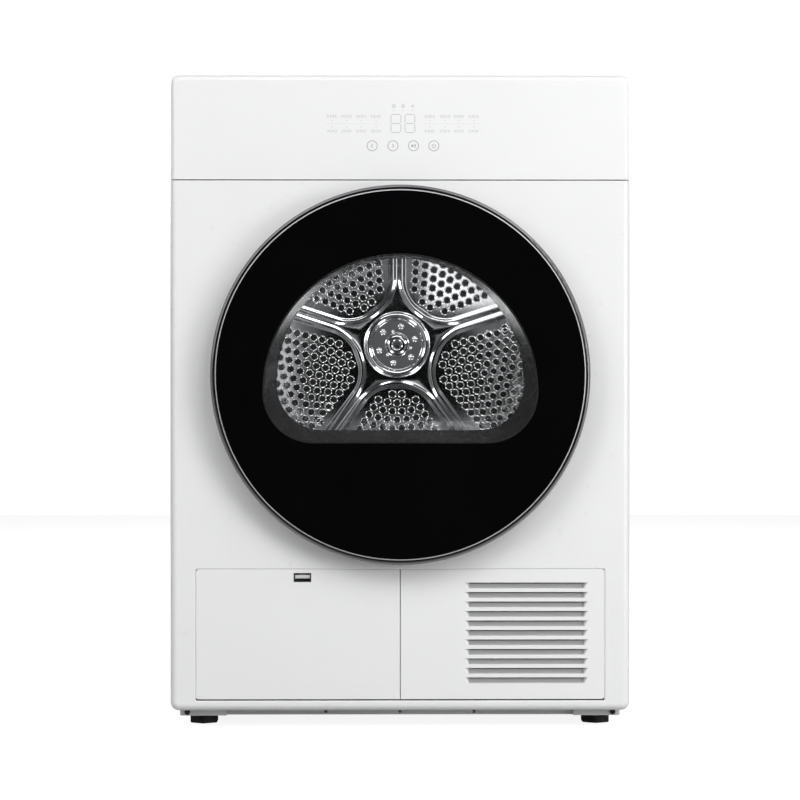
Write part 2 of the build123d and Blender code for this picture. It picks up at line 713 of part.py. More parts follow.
def window_bezel():
    """Funnel that leads from the front plate back to the glass bowl."""
    front, back = DOOR_Y + 0.5, -295.2
    outer = d_loft(WINDOW_FRONT, front, grown(WINDOW_BACK, 3), back)
    inner = d_loft(grown(WINDOW_FRONT, -2.2), front - 0.01, WINDOW_BACK, back + 0.01)
    with BuildPart() as bezel:
        add(outer)
        add(inner, mode=Mode.SUBTRACT)
    return bezel.part


def door_bowl():
    """Clear bowl that reaches into the loading port, with a flange held by the bezel and the frame."""
    flange_front, flange_back, end = -295.0, -291.6, -222.0
    glass = 4.5
    mouth = grown(WINDOW_BACK, 1.0)
    outer = d_loft(mouth, flange_front, BOWL_END, end)
    inner = d_loft(grown(mouth, -glass), flange_front - 0.01, grown(BOWL_END, -glass), end - glass)
    flange = d_plate(grown(WINDOW_BACK, 12), flange_front, flange_back)
    with BuildPart() as bowl:
        add(outer)
        add(flange)
        add(inner, mode=Mode.SUBTRACT)
        fillet(bowl.faces().sort_by(Axis.Y)[-1].edges(), 3)
    return bowl.part


def door_frame():
    """Rear plate of the door, with a collar round the window and a pocket for the fingers."""
    back = -289.0
    plate = 2.4
    radius = GLASS_R - 5.7
    hole = d_plate(grown(WINDOW_BACK, 2.5), -300, back + 1)
    collar_outer = d_plate(grown(WINDOW_BACK, 17), DOOR_Y + 5.2, back - plate)
    collar_inner = d_plate(grown(WINDOW_BACK, 15), DOOR_Y + 5, back - plate + 0.01)
    room = d_plate(grown(WINDOW_FRONT, 1.5), DOOR_Y + 5, DOOR_Y + 12)
    with BuildPart() as frame:
        disc(0, DOOR_Z, radius, back - plate, back)
        add(collar_outer)
        add(collar_inner, mode=Mode.SUBTRACT)
        add(room, mode=Mode.SUBTRACT)
        add(hole, mode=Mode.SUBTRACT)
        # stiffening rings, up to the back of the front plate
        with BuildSketch(face_plane(back - plate)):
            with Locations((0, DOOR_Z)):
                Circle(radius)
                Circle(radius - 2, mode=Mode.SUBTRACT)
        extrude(amount=(back - plate) - (DOOR_Y + 5.2))
        cut_block((200, 260), (-311, -280), (DOOR_Z - HINGE_HALF - 3, DOOR_Z + HINGE_HALF + 3))
        cut_block((-260, -222), (-306, -280), (DOOR_Z - GRIP_HALF, DOOR_Z + GRIP_HALF))
        # floor and wall of the finger pocket
        block((-231, -220), (-308, -306), (DOOR_Z - GRIP_HALF, DOOR_Z + GRIP_HALF))
        with BuildSketch(face_plane(-305)):
            with Locations((0, DOOR_Z)):
                Circle(radius + 20)
                Circle(radius, mode=Mode.SUBTRACT)
        extrude(amount=4, mode=Mode.SUBTRACT)
        block((-222, -220), (-308, back - plate), (DOOR_Z - GRIP_HALF, DOOR_Z + GRIP_HALF))
    return frame.part


def door_hook():
    """Hook that the catch holds when the door is shut."""
    with BuildPart() as hook:
        with BuildSketch(Plane.XY.offset(DOOR_Z - 6)):
            with BuildLine():
                Polyline(
                    (-219, -289),
                    (-209, -289),
                    (-209.5, -271),
                    (-212, -265),
                    (-219.5, -269),
                    (-219.5, -273),
                    (-215.5, -273),
                    (-215.5, -285),
                    (-219, -287),
                    close=True,
                )
            make_face()
        extrude(amount=12)
    return hook.part


def door_catch():
    """Catch behind the front panel that the hook snaps into."""
    with BuildPart() as catch:
        block((-228, -200), (-284, -261), (DOOR_Z - 21, DOOR_Z + 21))
        cut_block((-225, -203), (-285, -263), (DOOR_Z - 9, DOOR_Z + 9))
        cut_block((-230, -198), (-285, -275), (DOOR_Z + 17.5, DOOR_Z + 22))
    return catch.part


def door_hinge_bracket():
    """Leaf on the front panel with two eyes and the pin pressed into them."""
    eye_r, pin_r, eye = 5.0, 3.0, 5.0
    with BuildPart() as bracket:
        block((200, 230), (FACE_Y - 2, FACE_Y), (DOOR_Z - HINGE_HALF, DOOR_Z + HINGE_HALF))
        for z in (DOOR_Z - HINGE_HALF, DOOR_Z + HINGE_HALF - eye):
            with BuildSketch(Plane.XY.offset(z)):
                with Locations((HINGE_X, HINGE_Y)):
                    Circle(eye_r)
                with BuildLine():
                    Polyline(
                        (HINGE_X - 4.4, HINGE_Y - 2.4),
                        (HINGE_X + 3.2, HINGE_Y + 3.8),
                        (229, FACE_Y - 1.5),
                        (217, FACE_Y - 1.5),
                        close=True,
                    )
                make_face()
            extrude(amount=eye)
        post(HINGE_X, HINGE_Y, pin_r, DOOR_Z - HINGE_HALF, DOOR_Z + HINGE_HALF)
    return bracket.part


def door_hinge_block():
    """Knuckle that turns on the pin and carries the door."""
    low, high = DOOR_Z - 30.5, DOOR_Z + 30.5
    with BuildPart() as knuckle:
        with BuildSketch(Plane.XY.offset(low)):
            with Locations((HINGE_X, HINGE_Y)):
                Circle(5.2)
            with BuildLine():
                Polyline((203, -311), (236, -311), (236, -303), (224, -298), (203, -298), close=True)
            make_face()
            with Locations((HINGE_X, HINGE_Y)):
                Circle(3.0 + RUNNING, mode=Mode.SUBTRACT)
        extrude(amount=high - low)
    return knuckle.part


# ---------------------------------------------------------------- drum
def drum_shell():
    """Rolled steel drum with a narrower mouth in front and two beads round it."""
    wall = DRUM_WALL
    path = [
        (COLLAR_R, DRUM_FRONT),
        (COLLAR_R, -200),
        (DRUM_R - wall, -188),
        (DRUM_R - wall, -120),
        (DRUM_R - wall - 4, -114),
        (DRUM_R - wall - 4, -106),
        (DRUM_R - wall, -100),
        (DRUM_R - wall, 150),
        (DRUM_R - wall - 4, 156),
        (DRUM_R - wall - 4, 164),
        (DRUM_R - wall, 170),
        (DRUM_R - wall, DRUM_BACK),
    ]
    outside = [(r + wall, y) for r, y in path]
    with BuildPart() as shell:
        with BuildSketch(Plane.XY):
            with BuildLine():
                Polyline(*path, *reversed(outside), close=True)
            make_face()
        revolve(axis=Axis.Y)
    return shell.part.moved(Location((0, 0, DRUM_Z)))


def sector_faces(inset):
    """The five perforated fields of the drum's back, seen from the front, about the drum's axis."""
    spoke = 11.0
    with BuildSketch() as fields:
        Circle(262 - inset)
        RegularPolygon(62 + inset, 5, major_radius=False, rotation=18, mode=Mode.SUBTRACT)
        for i in range(5):
            with Locations(Location((0, 0), 90 + 72 * i)):
                with Locations((150, 0)):
                    Rectangle(300, 2 * (spoke + inset), mode=Mode.SUBTRACT)
        fillet(fields.vertices(), 24 - inset)
    return fields.sketch


def drum_back():
    """Pressed back of the drum: five perforated fields with raised rims round a hub."""
    y0 = DRUM_BACK - 8.0
    sheet = 1.2
    fields, inside = sector_faces(0), sector_faces(7)
    bounds = sector_faces(14)
    pitch = 26.0
    rows = range(-10, 11)
    holes = []
    for row in rows:
        for column in rows:
            x, z = pitch * (column + 0.5 * (row % 2)), pitch * 0.866 * row
            if any(f.is_inside(Vector(x, z, 0)) for f in bounds.faces()):
                holes.append((x, z))
    with BuildPart() as back:
        with BuildSketch(Plane(origin=(0, y0, DRUM_Z), x_dir=(1, 0, 0), z_dir=(0, -1, 0))):
            Circle(DRUM_R - DRUM_WALL - 0.1)
            with Locations(*holes):
                Circle(6)
        extrude(amount=-sheet)
        with BuildSketch(Plane(origin=(0, y0, DRUM_Z), x_dir=(1, 0, 0), z_dir=(0, -1, 0))):
            add(fields)
            add(inside, mode=Mode.SUBTRACT)
        extrude(amount=5)
        with BuildSketch(Plane(origin=(0, y0, DRUM_Z), x_dir=(1, 0, 0), z_dir=(0, -1, 0))):
            Circle(DRUM_R - DRUM_WALL - 0.1)
            Circle(DRUM_R - DRUM_WALL - 2, mode=Mode.SUBTRACT)
        extrude(amount=-8)
    return back.part


def drum_lifters():
    """Three hollow ribs inside the drum that lift the laundry."""
    front, back = -176.0, DRUM_BACK - 16.0
    tip, foot = 222.0, DRUM_R - DRUM_WALL - 6.0
    wall = 2.5
    with BuildPart() as lifters:
        for angle in (30, 150, 270):
            plane = Plane(origin=(0, back, DRUM_Z), x_dir=(1, 0, 0), z_dir=(0, -1, 0))
            turn = math.radians(angle)

            def at(across, out):
                return (
                    out * math.cos(turn) - across * math.sin(turn),
                    out * math.sin(turn) + across * math.cos(turn),
                )

            with BuildSketch(plane):
                with BuildLine():
                    Polyline(
                        at(-30, foot),
                        at(-12, tip + 6),
                        at(-6, tip),
                        at(6, tip),
                        at(12, tip + 6),
                        at(30, foot),
                        close=True,
                    )
                make_face()
            extrude(amount=back - front)
            with BuildSketch(plane):
                with BuildLine():
                    Polyline(
                        at(-30 + wall * 1.3, foot + 0.1),
                        at(-12 + wall, tip + 6 + wall / 2),
                        at(12 - wall, tip + 6 + wall / 2),
                        at(30 - wall * 1.3, foot + 0.1),
                        close=True,
                    )
                make_face()
            extrude(amount=back - front - wall, mode=Mode.SUBTRACT)
    return lifters.part


def drum_hub_cover():
    """Pressed cap over the middle of the drum's back, with a raised rim and a central boss."""
    seat = DRUM_BACK - 8.0
    path = [
        (5.4, -7.2),
        (15.0, -7.2),
        (17.0, -4.0),
        (18.0, -1.6),
        (36.0, -1.6),
        (38.0, -5.5),
        (42.5, -7.0),
        (47.0, -5.5),
        (49.0, 0.0),
        (5.4, 0.0),
    ]
    with BuildPart() as cap:
        with BuildSketch(Plane.XY):
            with BuildLine():
                Polyline(*[(r, seat + y) for r, y in path], close=True)
            make_face()
        revolve(axis=Axis.Y)
    return cap.part.moved(Location((0, 0, DRUM_Z)))


def drum_hub_rivets():
    """Six large and three small rivets in the hub cap."""
    seat = DRUM_BACK - 8.0 - 1.6
    with BuildPart() as rivets:
        with Locations(Location((0, seat, DRUM_Z), (90, 0, 0))):
            with PolarLocations(27.0, 6, start_angle=20):
                Cone(4.2, 2.4, 2.2, align=(Align.CENTER, Align.CENTER, Align.MIN))
            with PolarLocations(20.6, 3, start_angle=-13):
                Cone(2.0, 1.2, 1.6, align=(Align.CENTER, Align.CENTER, Align.MIN))
    return rivets.part


def drum_shaft():
    """Flange behind the drum's back and the shaft that runs in the rear bearing."""
    y0 = DRUM_BACK - 6.8
    with BuildPart() as shaft:
        disc(0, DRUM_Z, 60, y0, y0 + 3)
        disc(0, DRUM_Z, 18, y0 + 3, y0 + 16)
        disc(0, DRUM_Z, SHAFT_R, y0 + 16, REAR_Y - 3)
        chamfer(shaft.edges().filter_by(GeomType.CIRCLE).sort_by(Axis.Y)[-1], 1)
    return shaft.part


def rear_bearing():
    """Sleeve bearing with a flange, fastened to the rear panel."""
    with BuildPart() as bearing:
        disc(0, DRUM_Z, 25, 268, REAR_Y + 2)
        disc(0, DRUM_Z, 44, REAR_Y - 5, REAR_Y - 2)
        disc(0, DRUM_Z, SHAFT_R + RUNNING, 260, REAR_Y - 1, mode=Mode.SUBTRACT)
    return bearing.part


# ---------------------------------------------------------------- drive
def belt_loop(offset):
    """Corners of the belt's line about the drum, the idler and the motor pulley.

    Returns (entry point, middle of the arc, exit point) for each wheel. A positive radius turns
    left and a negative one right. offset moves the line outwards.
    """
    wheels = [
        ((0.0, DRUM_Z), DRUM_R + TOUCH + offset),
        ((IDLER_X, IDLER_Z), -(IDLER_R + TOUCH + BELT_THICK) + offset),
        ((MOTOR_X, MOTOR_Z), PULLEY_R + TOUCH + offset),
    ]
    headings = []
    for (here, r_here), (there, r_there) in zip(wheels, wheels[1:] + wheels[:1]):
        dx, dz = there[0] - here[0], there[1] - here[1]
        headings.append(math.atan2(dz, dx) - math.asin((r_there - r_here) / math.hypot(dx, dz)))
    arcs = []
    for i, ((cx, cz), radius) in enumerate(wheels):
        into, out = headings[i - 1], headings[i]
        turn = (out - into) % (2 * math.pi)
        if radius < 0:
            turn -= 2 * math.pi
        points = []
        for share in (0.0, 0.5, 1.0):
            a = into + turn * share
            points.append((cx + radius * math.sin(a), cz - radius * math.cos(a)))
        arcs.append(points)
    return arcs


def belt_face(offset):
    arcs = belt_loop(offset)
    with BuildSketch() as face:
        with BuildLine():
            for i, (start, middle, end) in enumerate(arcs):
                ThreePointArc(start, middle, end)
                Line(end, arcs[(i + 1) % len(arcs)][0])
        make_face()
    return face.sketch


def drive_belt():
    y1 = BELT_Y + BELT_WIDTH / 2
    with BuildPart() as belt:
        with BuildSketch(face_plane(y1)):
            add(belt_face(BELT_THICK))
            add(belt_face(0.0), mode=Mode.SUBTRACT)
        extrude(amount=BELT_WIDTH)
    return belt.part


def motor_housing():
    """Motor with its end shields, cooling slots and cradle."""
    with BuildPart() as motor:
        disc(MOTOR_X, MOTOR_Z, MOTOR_R, MOTOR_FRONT + 10, MOTOR_BACK - 10)
        disc(MOTOR_X, MOTOR_Z, MOTOR_R - 6, MOTOR_FRONT, MOTOR_BACK)
        with BuildSketch(face_plane(MOTOR_FRONT + 6)):
            with Locations((MOTOR_X, MOTOR_Z)):
                with PolarLocations(38, 10):
                    SlotOverall(18, 5)
        extrude(amount=8, mode=Mode.SUBTRACT)
        block((MOTOR_X - 40, MOTOR_X - 30), (MOTOR_FRONT + 14, MOTOR_BACK - 14), (17, MOTOR_Z - 44))
        block((MOTOR_X + 30, MOTOR_X + 40), (MOTOR_FRONT + 14, MOTOR_BACK - 14), (17, MOTOR_Z - 44))
        disc(MOTOR_X, MOTOR_Z, ROTOR_SHAFT_R + RUNNING, MOTOR_FRONT - 1, MOTOR_BACK + 1, mode=Mode.SUBTRACT)
        # pin for the tension arm
        disc(ARM_X, ARM_Z, 4.0, 104.0, MOTOR_FRONT + 12)
        disc(ARM_X, ARM_Z, 9.0, 112.0, MOTOR_FRONT + 12)
    return motor.part


def motor_shaft():
    with BuildPart() as shaft:
        disc(MOTOR_X, MOTOR_Z, ROTOR_SHAFT_R, BELT_Y - 9, FAN_BACK - 12)
        disc(MOTOR_X, MOTOR_Z, PULLEY_R, BELT_Y - 6, BELT_Y + 6)
        disc(MOTOR_X, MOTOR_Z, PULLEY_R + 4, BELT_Y - 8, BELT_Y - 6)
        disc(MOTOR_X, MOTOR_Z, PULLEY_R + 4, BELT_Y + 6, BELT_Y + 8)
    return shaft.part


def fan_impeller():
    """Radial fan wheel on the motor's rear shaft, open to the rear."""
    blades = 24
    front, back = FAN_FRONT + 6, FAN_BACK - 10
    with BuildPart() as fan:
        disc(MOTOR_X, MOTOR_Z, FAN_R, front, front + 2)
        disc(MOTOR_X, MOTOR_Z, 14, front, front + 22)
        with BuildSketch(face_plane(back)):
            with Locations((MOTOR_X, MOTOR_Z)):
                Circle(FAN_R)
                Circle(FAN_R - 6, mode=Mode.SUBTRACT)
        extrude(amount=2)
        with BuildSketch(face_plane(back)):
            with Locations((MOTOR_X, MOTOR_Z)):
                with PolarLocations(FAN_R - 8, blades):
                    Rectangle(14, 1.6, rotation=32)
        extrude(amount=back - front)
        disc(MOTOR_X, MOTOR_Z, ROTOR_SHAFT_R + 0.01, front - 1, back + 1, mode=Mode.SUBTRACT)
    return fan.part


def fan_volute():
    """Fan casing with its inlet at the rear and its outlet up to the rear duct."""
    wall = 2.0

    def outline(shrink):
        with BuildSketch() as shape:
            with Locations((MOTOR_X, MOTOR_Z)):
                Circle(86 - shrink)
            with Locations((231, 178)):
                Rectangle(56 - 2 * shrink, 134 - 2 * shrink)
        return shape.sketch

    with BuildPart() as volute:
        with BuildSketch(face_plane(FAN_BACK)):
            add(outline(0))
        extrude(amount=FAN_BACK - FAN_FRONT)
        with BuildSketch(face_plane(FAN_BACK - wall)):
            add(outline(wall))
        extrude(amount=FAN_BACK - FAN_FRONT - 2 * wall, mode=Mode.SUBTRACT)
        disc(MOTOR_X, MOTOR_Z, 46, FAN_BACK - wall - 1, FAN_BACK + 1, mode=Mode.SUBTRACT)
        disc(MOTOR_X, MOTOR_Z, ROTOR_SHAFT_R + 2, FAN_FRONT - 1, FAN_FRONT + wall + 1, mode=Mode.SUBTRACT)
        # outlet through the rear panel
        block((205, 257), (FAN_BACK - 1, REAR_Y - 2), (201, 243))
        cut_block((207, 255), (FAN_BACK - wall - 1, REAR_Y), (203, 241))
    return volute.part


def tension_arm():
    """Arm that holds the idler against the belt."""
    y0, y1 = 105.0, 109.0
    with BuildPart() as arm:
        with BuildSketch(face_plane(y1)):
            with Locations((ARM_X, ARM_Z), (IDLER_X, IDLER_Z)):
                Circle(9)
            length = math.hypot(IDLER_X - ARM_X, IDLER_Z - ARM_Z)
            angle = math.degrees(math.atan2(IDLER_Z - ARM_Z, IDLER_X - ARM_X))
            with Locations(((ARM_X + IDLER_X) / 2, (ARM_Z + IDLER_Z) / 2)):
                Rectangle(length, 14, rotation=angle)
        extrude(amount=y1 - y0)
        disc(ARM_X, ARM_Z, 4.0 + RUNNING, y0 - 1, y1 + 1, mode=Mode.SUBTRACT)
        disc(IDLER_X, IDLER_Z, 4.0, BELT_Y - 8, y0)
    return arm.part


def idler_pulley():
    y0, y1 = BELT_Y - 7, BELT_Y + 7
    with BuildPart() as idler:
        disc(IDLER_X, IDLER_Z, IDLER_R, y0, y1)
        disc(IDLER_X, IDLER_Z, IDLER_R + 3, y0, y0 + 1.6)
        disc(IDLER_X, IDLER_Z, IDLER_R + 3, y1 - 1.6, y1)
        disc(IDLER_X, IDLER_Z, 4.0 + RUNNING, y0 - 1, y1 + 1, mode=Mode.SUBTRACT)
    return idler.part


# ---------------------------------------------------------------- heat pump and water
def air_duct():
    """Channel from the lint filter down to the service bay and back through both heat exchangers."""
    wall = 2.0
    x0, x1, low, high = EXCHANGER_X0, EXCHANGER_X1, EXCHANGER_LOW, EXCHANGER_HIGH
    with BuildPart() as duct:
        block((x0, 104), (-256.2, -219), (high, 231.8))
        block((x0, x1), (-256.2, 62), (low, high))
        block((x0, x1), (-256.2, -219), (low, 231.8))
        cut_block((x0 + wall, 104 - wall), (-254.2, -221), (high + wall - 0.01, 229.8))
        cut_block((-101, 101), (-254.2, -221), (220, 240))
        cut_block((x0 + wall, x1 - wall), (-254.2, 63), (low + wall, high - wall))
        cut_block((x0 + wall, x1 - wall), (-254.2, -221), (low + wall, 229.8))
        # access for the filter, closed by its cover
        cut_block((x0 + 7, x1 - 7), (-257, -253), (low + 6, high - 6))
    return duct.part


def finned_block(y0, y1):
    """Stack of upright fins on rows of tubes."""
    x0, x1, low, high = EXCHANGER_X0 + 3, EXCHANGER_X1 - 3, EXCHANGER_LOW + 4, EXCHANGER_HIGH - 4
    fins = 21
    step = (x1 - x0 - 1.2) / (fins - 1)
    rows = max(2, round((y1 - y0) / 30))
    with BuildPart() as stack:
        with BuildSketch(Plane.XY.offset(low)):
            with Locations(*[(x0 + 0.6 + i * step, (y0 + y1) / 2) for i in range(fins)]):
                Rectangle(1.2, y1 - y0)
        extrude(amount=high - low)
        with BuildSketch(Plane.YZ.offset(x0)):
            with Locations(((y0 + y1) / 2, (low + high) / 2)):
                with GridLocations(30, 36, rows, 4):
                    Circle(4.8)
        extrude(amount=x1 - x0)
    return stack.part


def exchanger_filter():
    """Foam filter in a frame, in front of the first heat exchanger."""
    y0, y1 = -202.0, -190.0
    with BuildPart() as frame:
        block((-110, -16), (y0, y1), (54, 192))
        cut_block((-105, -21), (y0 - 1, y0 + 4), (59, 187))
        with BuildSketch(face_plane(y1 + 1)):
            with Locations((-63, 123)):
                with GridLocations(14, 14, 5, 8):
                    RectangleRounded(10, 10, 2)
        extrude(amount=14, mode=Mode.SUBTRACT)
        block((-78, -48), (y0 - 6, y0 + 4.5), (120, 126))
    return frame.part


def filter_cover():
    """Cover over the duct's access opening, with a grip bar and a seat for the lock lever."""
    y0, y1 = -262.0, -256.2
    with BuildPart() as cover:
        block((EXCHANGER_X0 + 2, EXCHANGER_X1 - 2), (y0, y1), (EXCHANGER_LOW + 2, EXCHANGER_HIGH - 2))
        fillet(cover.edges().filter_by(Axis.Y), 6)
        with BuildSketch(face_plane(y0)):
            with Locations((-63, 88)):
                RectangleRounded(74, 34, 6)
        extrude(amount=-3, mode=Mode.SUBTRACT)
        disc(LEVER_X, LEVER_Z, 4.0, y0 - 7, y0)
    return cover.part


def lock_lever():
    """Lever that turns a quarter turn to free the cover."""
    y0, y1 = -268.4, -262.4
    with BuildPart() as lever:
        with BuildSketch(face_plane(y1)):
            with Locations((LEVER_X, LEVER_Z)):
                SlotOverall(74, 18)
        extrude(amount=y1 - y0)
        disc(LEVER_X, LEVER_Z, 4.0 + RUNNING, y0 - 1, y1 + 1, mode=Mode.SUBTRACT)
    return lever.part


def water_tank():
    """Hollow condensate tank with a grip pocket in front and a filler neck on top."""
    x0, x1, y0, y1, low, high = TANK_X0, TANK_X1, TANK_Y0, TANK_Y1, TANK_LOW, TANK_HIGH
    wall = 2.5
    with BuildPart() as tank:
        block((x0, x1), (y0, y1), (low, high))
        fillet(tank.edges().filter_by(Axis.Z), 10)
        block((-222, -164), (y0, y0 + 2), (150, 170))
        cut_block((x0 + wall, x1 - wall), (y0 + 20, y1 - wall), (low + wall, high - wall))
        cut_block((x0 + wall, x1 - wall), (y0 + wall, y0 + 21), (low + wall, 122))
        cut_block((-236, -150), (y0 - 1, y0 + 17), (126, 176))
        post(-193, -200, 12, high - wall - 1, high + 1, mode=Mode.SUBTRACT)
    return tank.part


def tank_cap():
    with BuildPart() as cap:
        post(-193, -200, 17, TANK_HIGH, TANK_HIGH + 8)
        post(-193, -200, 11.6, TANK_HIGH - 6, TANK_HIGH)
        chamfer(cap.edges().filter_by(GeomType.CIRCLE).sort_by(Axis.Z)[-1], 1.5)
    return cap.part


def compressor():
    """Upright rotary compressor with its accumulator, on three rubber-mounted feet."""
    x, y = COMPRESSOR_X, COMPRESSOR_Y
    with BuildPart() as pump:
        post(x, y, 56, 40, 200)
        fillet(pump.edges().filter_by(GeomType.CIRCLE), 16)
        with BuildSketch(Plane.XY.offset(34)):
            with BuildLine():
                Polyline(*[(px, py) for px, py in COMPRESSOR_POSTS], close=True)
            make_face()
            with Locations(*COMPRESSOR_POSTS):
                Circle(12)
        extrude(amount=7)
        for px, py in COMPRESSOR_POSTS:
            post(px, py, 8, 32, 34)
        post(x - 84, y + 4, 22, 70, 180)
        block((x - 66, x - 50), (y - 4, y + 12), (110, 130))
    return pump.part


def refrigerant_pipes():
    """Copper lines between the compressor and both heat exchangers."""
    inlet = EXCHANGER_X1 + 0.2
    discharge = [
        (COMPRESSOR_X, COMPRESSOR_Y, 200),
        (COMPRESSOR_X, COMPRESSOR_Y, 216),
        (30, 0, 216),
        (30, 0, 150),
        (inlet, 0, 150),
    ]
    suction = [
        (102, -116, 180),
        (102, -116, 204),
        (20, -140, 204),
        (20, -140, 150),
        (inlet, -140, 150),
    ]
    with BuildPart() as pipes:
        for run in (discharge, suction):
            with BuildLine():
                FilletPolyline(*run, radius=12)
            start, after = Vector(*run[0]), Vector(*run[1])
            with BuildSketch(Plane(origin=start, z_dir=after - start)):
                Circle(4)
            sweep()
    return pipes.part


def condensate_pump():
    """Pump in the tray with the spout that the drain hose pushes onto."""
    with BuildPart() as pump:
        block((-232, -172), (180, 250), (17, 62))
        post(-202, 215, 24, 62, 100)
        disc(DRAIN_X, DRAIN_Z, 9, 250, TRAY_REAR - TRAY_WALL)
    return pump.part


def cable_gland():
    """Gland for the mains lead, with an open bore."""
    with BuildPart() as gland:
        disc(-262, 100, 11, REAR_Y - 12, REAR_Y)
        disc(-262, 100, 15, REAR_Y, REAR_Y + 5)
        disc(-262, 100, 10, REAR_Y + 5, REAR_Y + 16)
        disc(-262, 100, 4.0, REAR_Y - 13, REAR_Y + 17, mode=Mode.SUBTRACT)
    return gland.part


# ---------------------------------------------------------------- all pieces
PIECES = {
    "front_panel": front_panel,
    "control_fascia": control_fascia,
    "control_board": control_board,
    "top_cover": top_cover,
    "side_panel_left": lambda: side_panel(-1),
    "side_panel_right": lambda: side_panel(1),
    "rear_panel": rear_panel,
    "rear_duct_cover": rear_duct_cover,
    "base_tray": base_tray,
    "cabinet_screws": cabinet_screws,
    "lower_grille": lower_grille,
    "front_bulkhead": front_bulkhead,
    "loading_port": loading_port,
    "port_felt": port_felt,
    "door_seal": door_seal,
    "door_catch": door_catch,
    "door_hinge_bracket": door_hinge_bracket,
    "lint_filter": lint_filter,
    "rear_bearing": rear_bearing,
    "drive_belt": drive_belt,
    "motor_housing": motor_housing,
    "fan_volute": fan_volute,
    "air_duct": air_duct,
    "evaporator": lambda: finned_block(-186.0, -98.0),
    "condenser": lambda: finned_block(-84.0, 56.0),
    "exchanger_filter": exchanger_filter,
    "filter_cover": filter_cover,
    "water_tank": water_tank,
    "tank_cap": tank_cap,
    "compressor": compressor,
    "refrigerant_pipes": refrigerant_pipes,
    "condensate_pump": condensate_pump,
    "cable_gland": cable_gland,
    "door_outer_ring": door_outer_ring,
    "door_glass": door_glass,
    "window_bezel": window_bezel,
    "door_bowl": door_bowl,
    "door_frame": door_frame,
    "door_hook": door_hook,
    "door_hinge_block": door_hinge_block,
    "drum_shell": drum_shell,
    "drum_back": drum_back,
    "drum_lifters": drum_lifters,
    "drum_hub_cover": drum_hub_cover,
    "drum_hub_rivets": drum_hub_rivets,
    "drum_shaft": drum_shaft,
    "motor_shaft": motor_shaft,
    "fan_impeller": fan_impeller,
    "support_roller_left": lambda: support_roller(*ROLLERS[0]),
    "support_roller_right": lambda: support_roller(*ROLLERS[1]),
    "tension_arm": tension_arm,
    "idler_pulley": idler_pulley,
    "flap_panel": flap_panel,
    "latch_housing": latch_housing,
    "latch_tab": latch_tab,
    "lock_lever": lock_lever,
    "foot_front_left": lambda: levelling_foot(*FEET[0]),
    "foot_front_right": lambda: levelling_foot(*FEET[1]),
    "foot_rear_left": lambda: levelling_foot(*FEET[2]),
    "foot_rear_right": lambda: levelling_foot(*FEET[3]),
}

if __name__ == "__main__":
    os.makedirs("parts", exist_ok=True)
    for name, make in PIECES.items():
        piece = make()
        piece.label = name
        export_step(piece, f"parts/{name}.step")
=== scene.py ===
import json
import math

import bpy
import numpy as np
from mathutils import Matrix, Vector
from mathutils.geometry import delaunay_2d_cdt


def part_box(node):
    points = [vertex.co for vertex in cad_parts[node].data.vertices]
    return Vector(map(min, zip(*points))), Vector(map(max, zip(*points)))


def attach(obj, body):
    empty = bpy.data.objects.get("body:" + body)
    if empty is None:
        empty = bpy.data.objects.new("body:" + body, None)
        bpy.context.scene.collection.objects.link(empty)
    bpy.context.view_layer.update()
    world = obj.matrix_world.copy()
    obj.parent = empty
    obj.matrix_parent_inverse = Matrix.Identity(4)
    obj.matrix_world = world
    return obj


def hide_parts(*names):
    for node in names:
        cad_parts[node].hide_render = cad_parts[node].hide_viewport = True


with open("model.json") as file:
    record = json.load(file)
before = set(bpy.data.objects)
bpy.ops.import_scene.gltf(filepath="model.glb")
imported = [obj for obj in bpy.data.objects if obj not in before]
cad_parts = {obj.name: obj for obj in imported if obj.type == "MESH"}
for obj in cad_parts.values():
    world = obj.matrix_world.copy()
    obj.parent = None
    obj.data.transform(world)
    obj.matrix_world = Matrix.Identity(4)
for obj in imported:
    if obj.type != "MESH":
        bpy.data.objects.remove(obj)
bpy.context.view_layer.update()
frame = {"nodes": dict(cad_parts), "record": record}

MM = 0.001

# ---------------------------------------------------------------- places read from the CAD
glass_low, glass_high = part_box("door_glass")
fascia_low, fascia_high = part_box("control_fascia")
back_low, back_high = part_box("drum_back")
tray_low, tray_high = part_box("base_tray")

DOOR_Z = (glass_low.z + glass_high.z) / 2
FASCIA_Y = fascia_low.y
DRUM_Z = (back_low.z + back_high.z) / 2
DRUM_BACK_R = (back_high.x - back_low.x) / 2
DRUM_BACK_Y = back_high.y - 8 * MM  # front face of the drum's back sheet


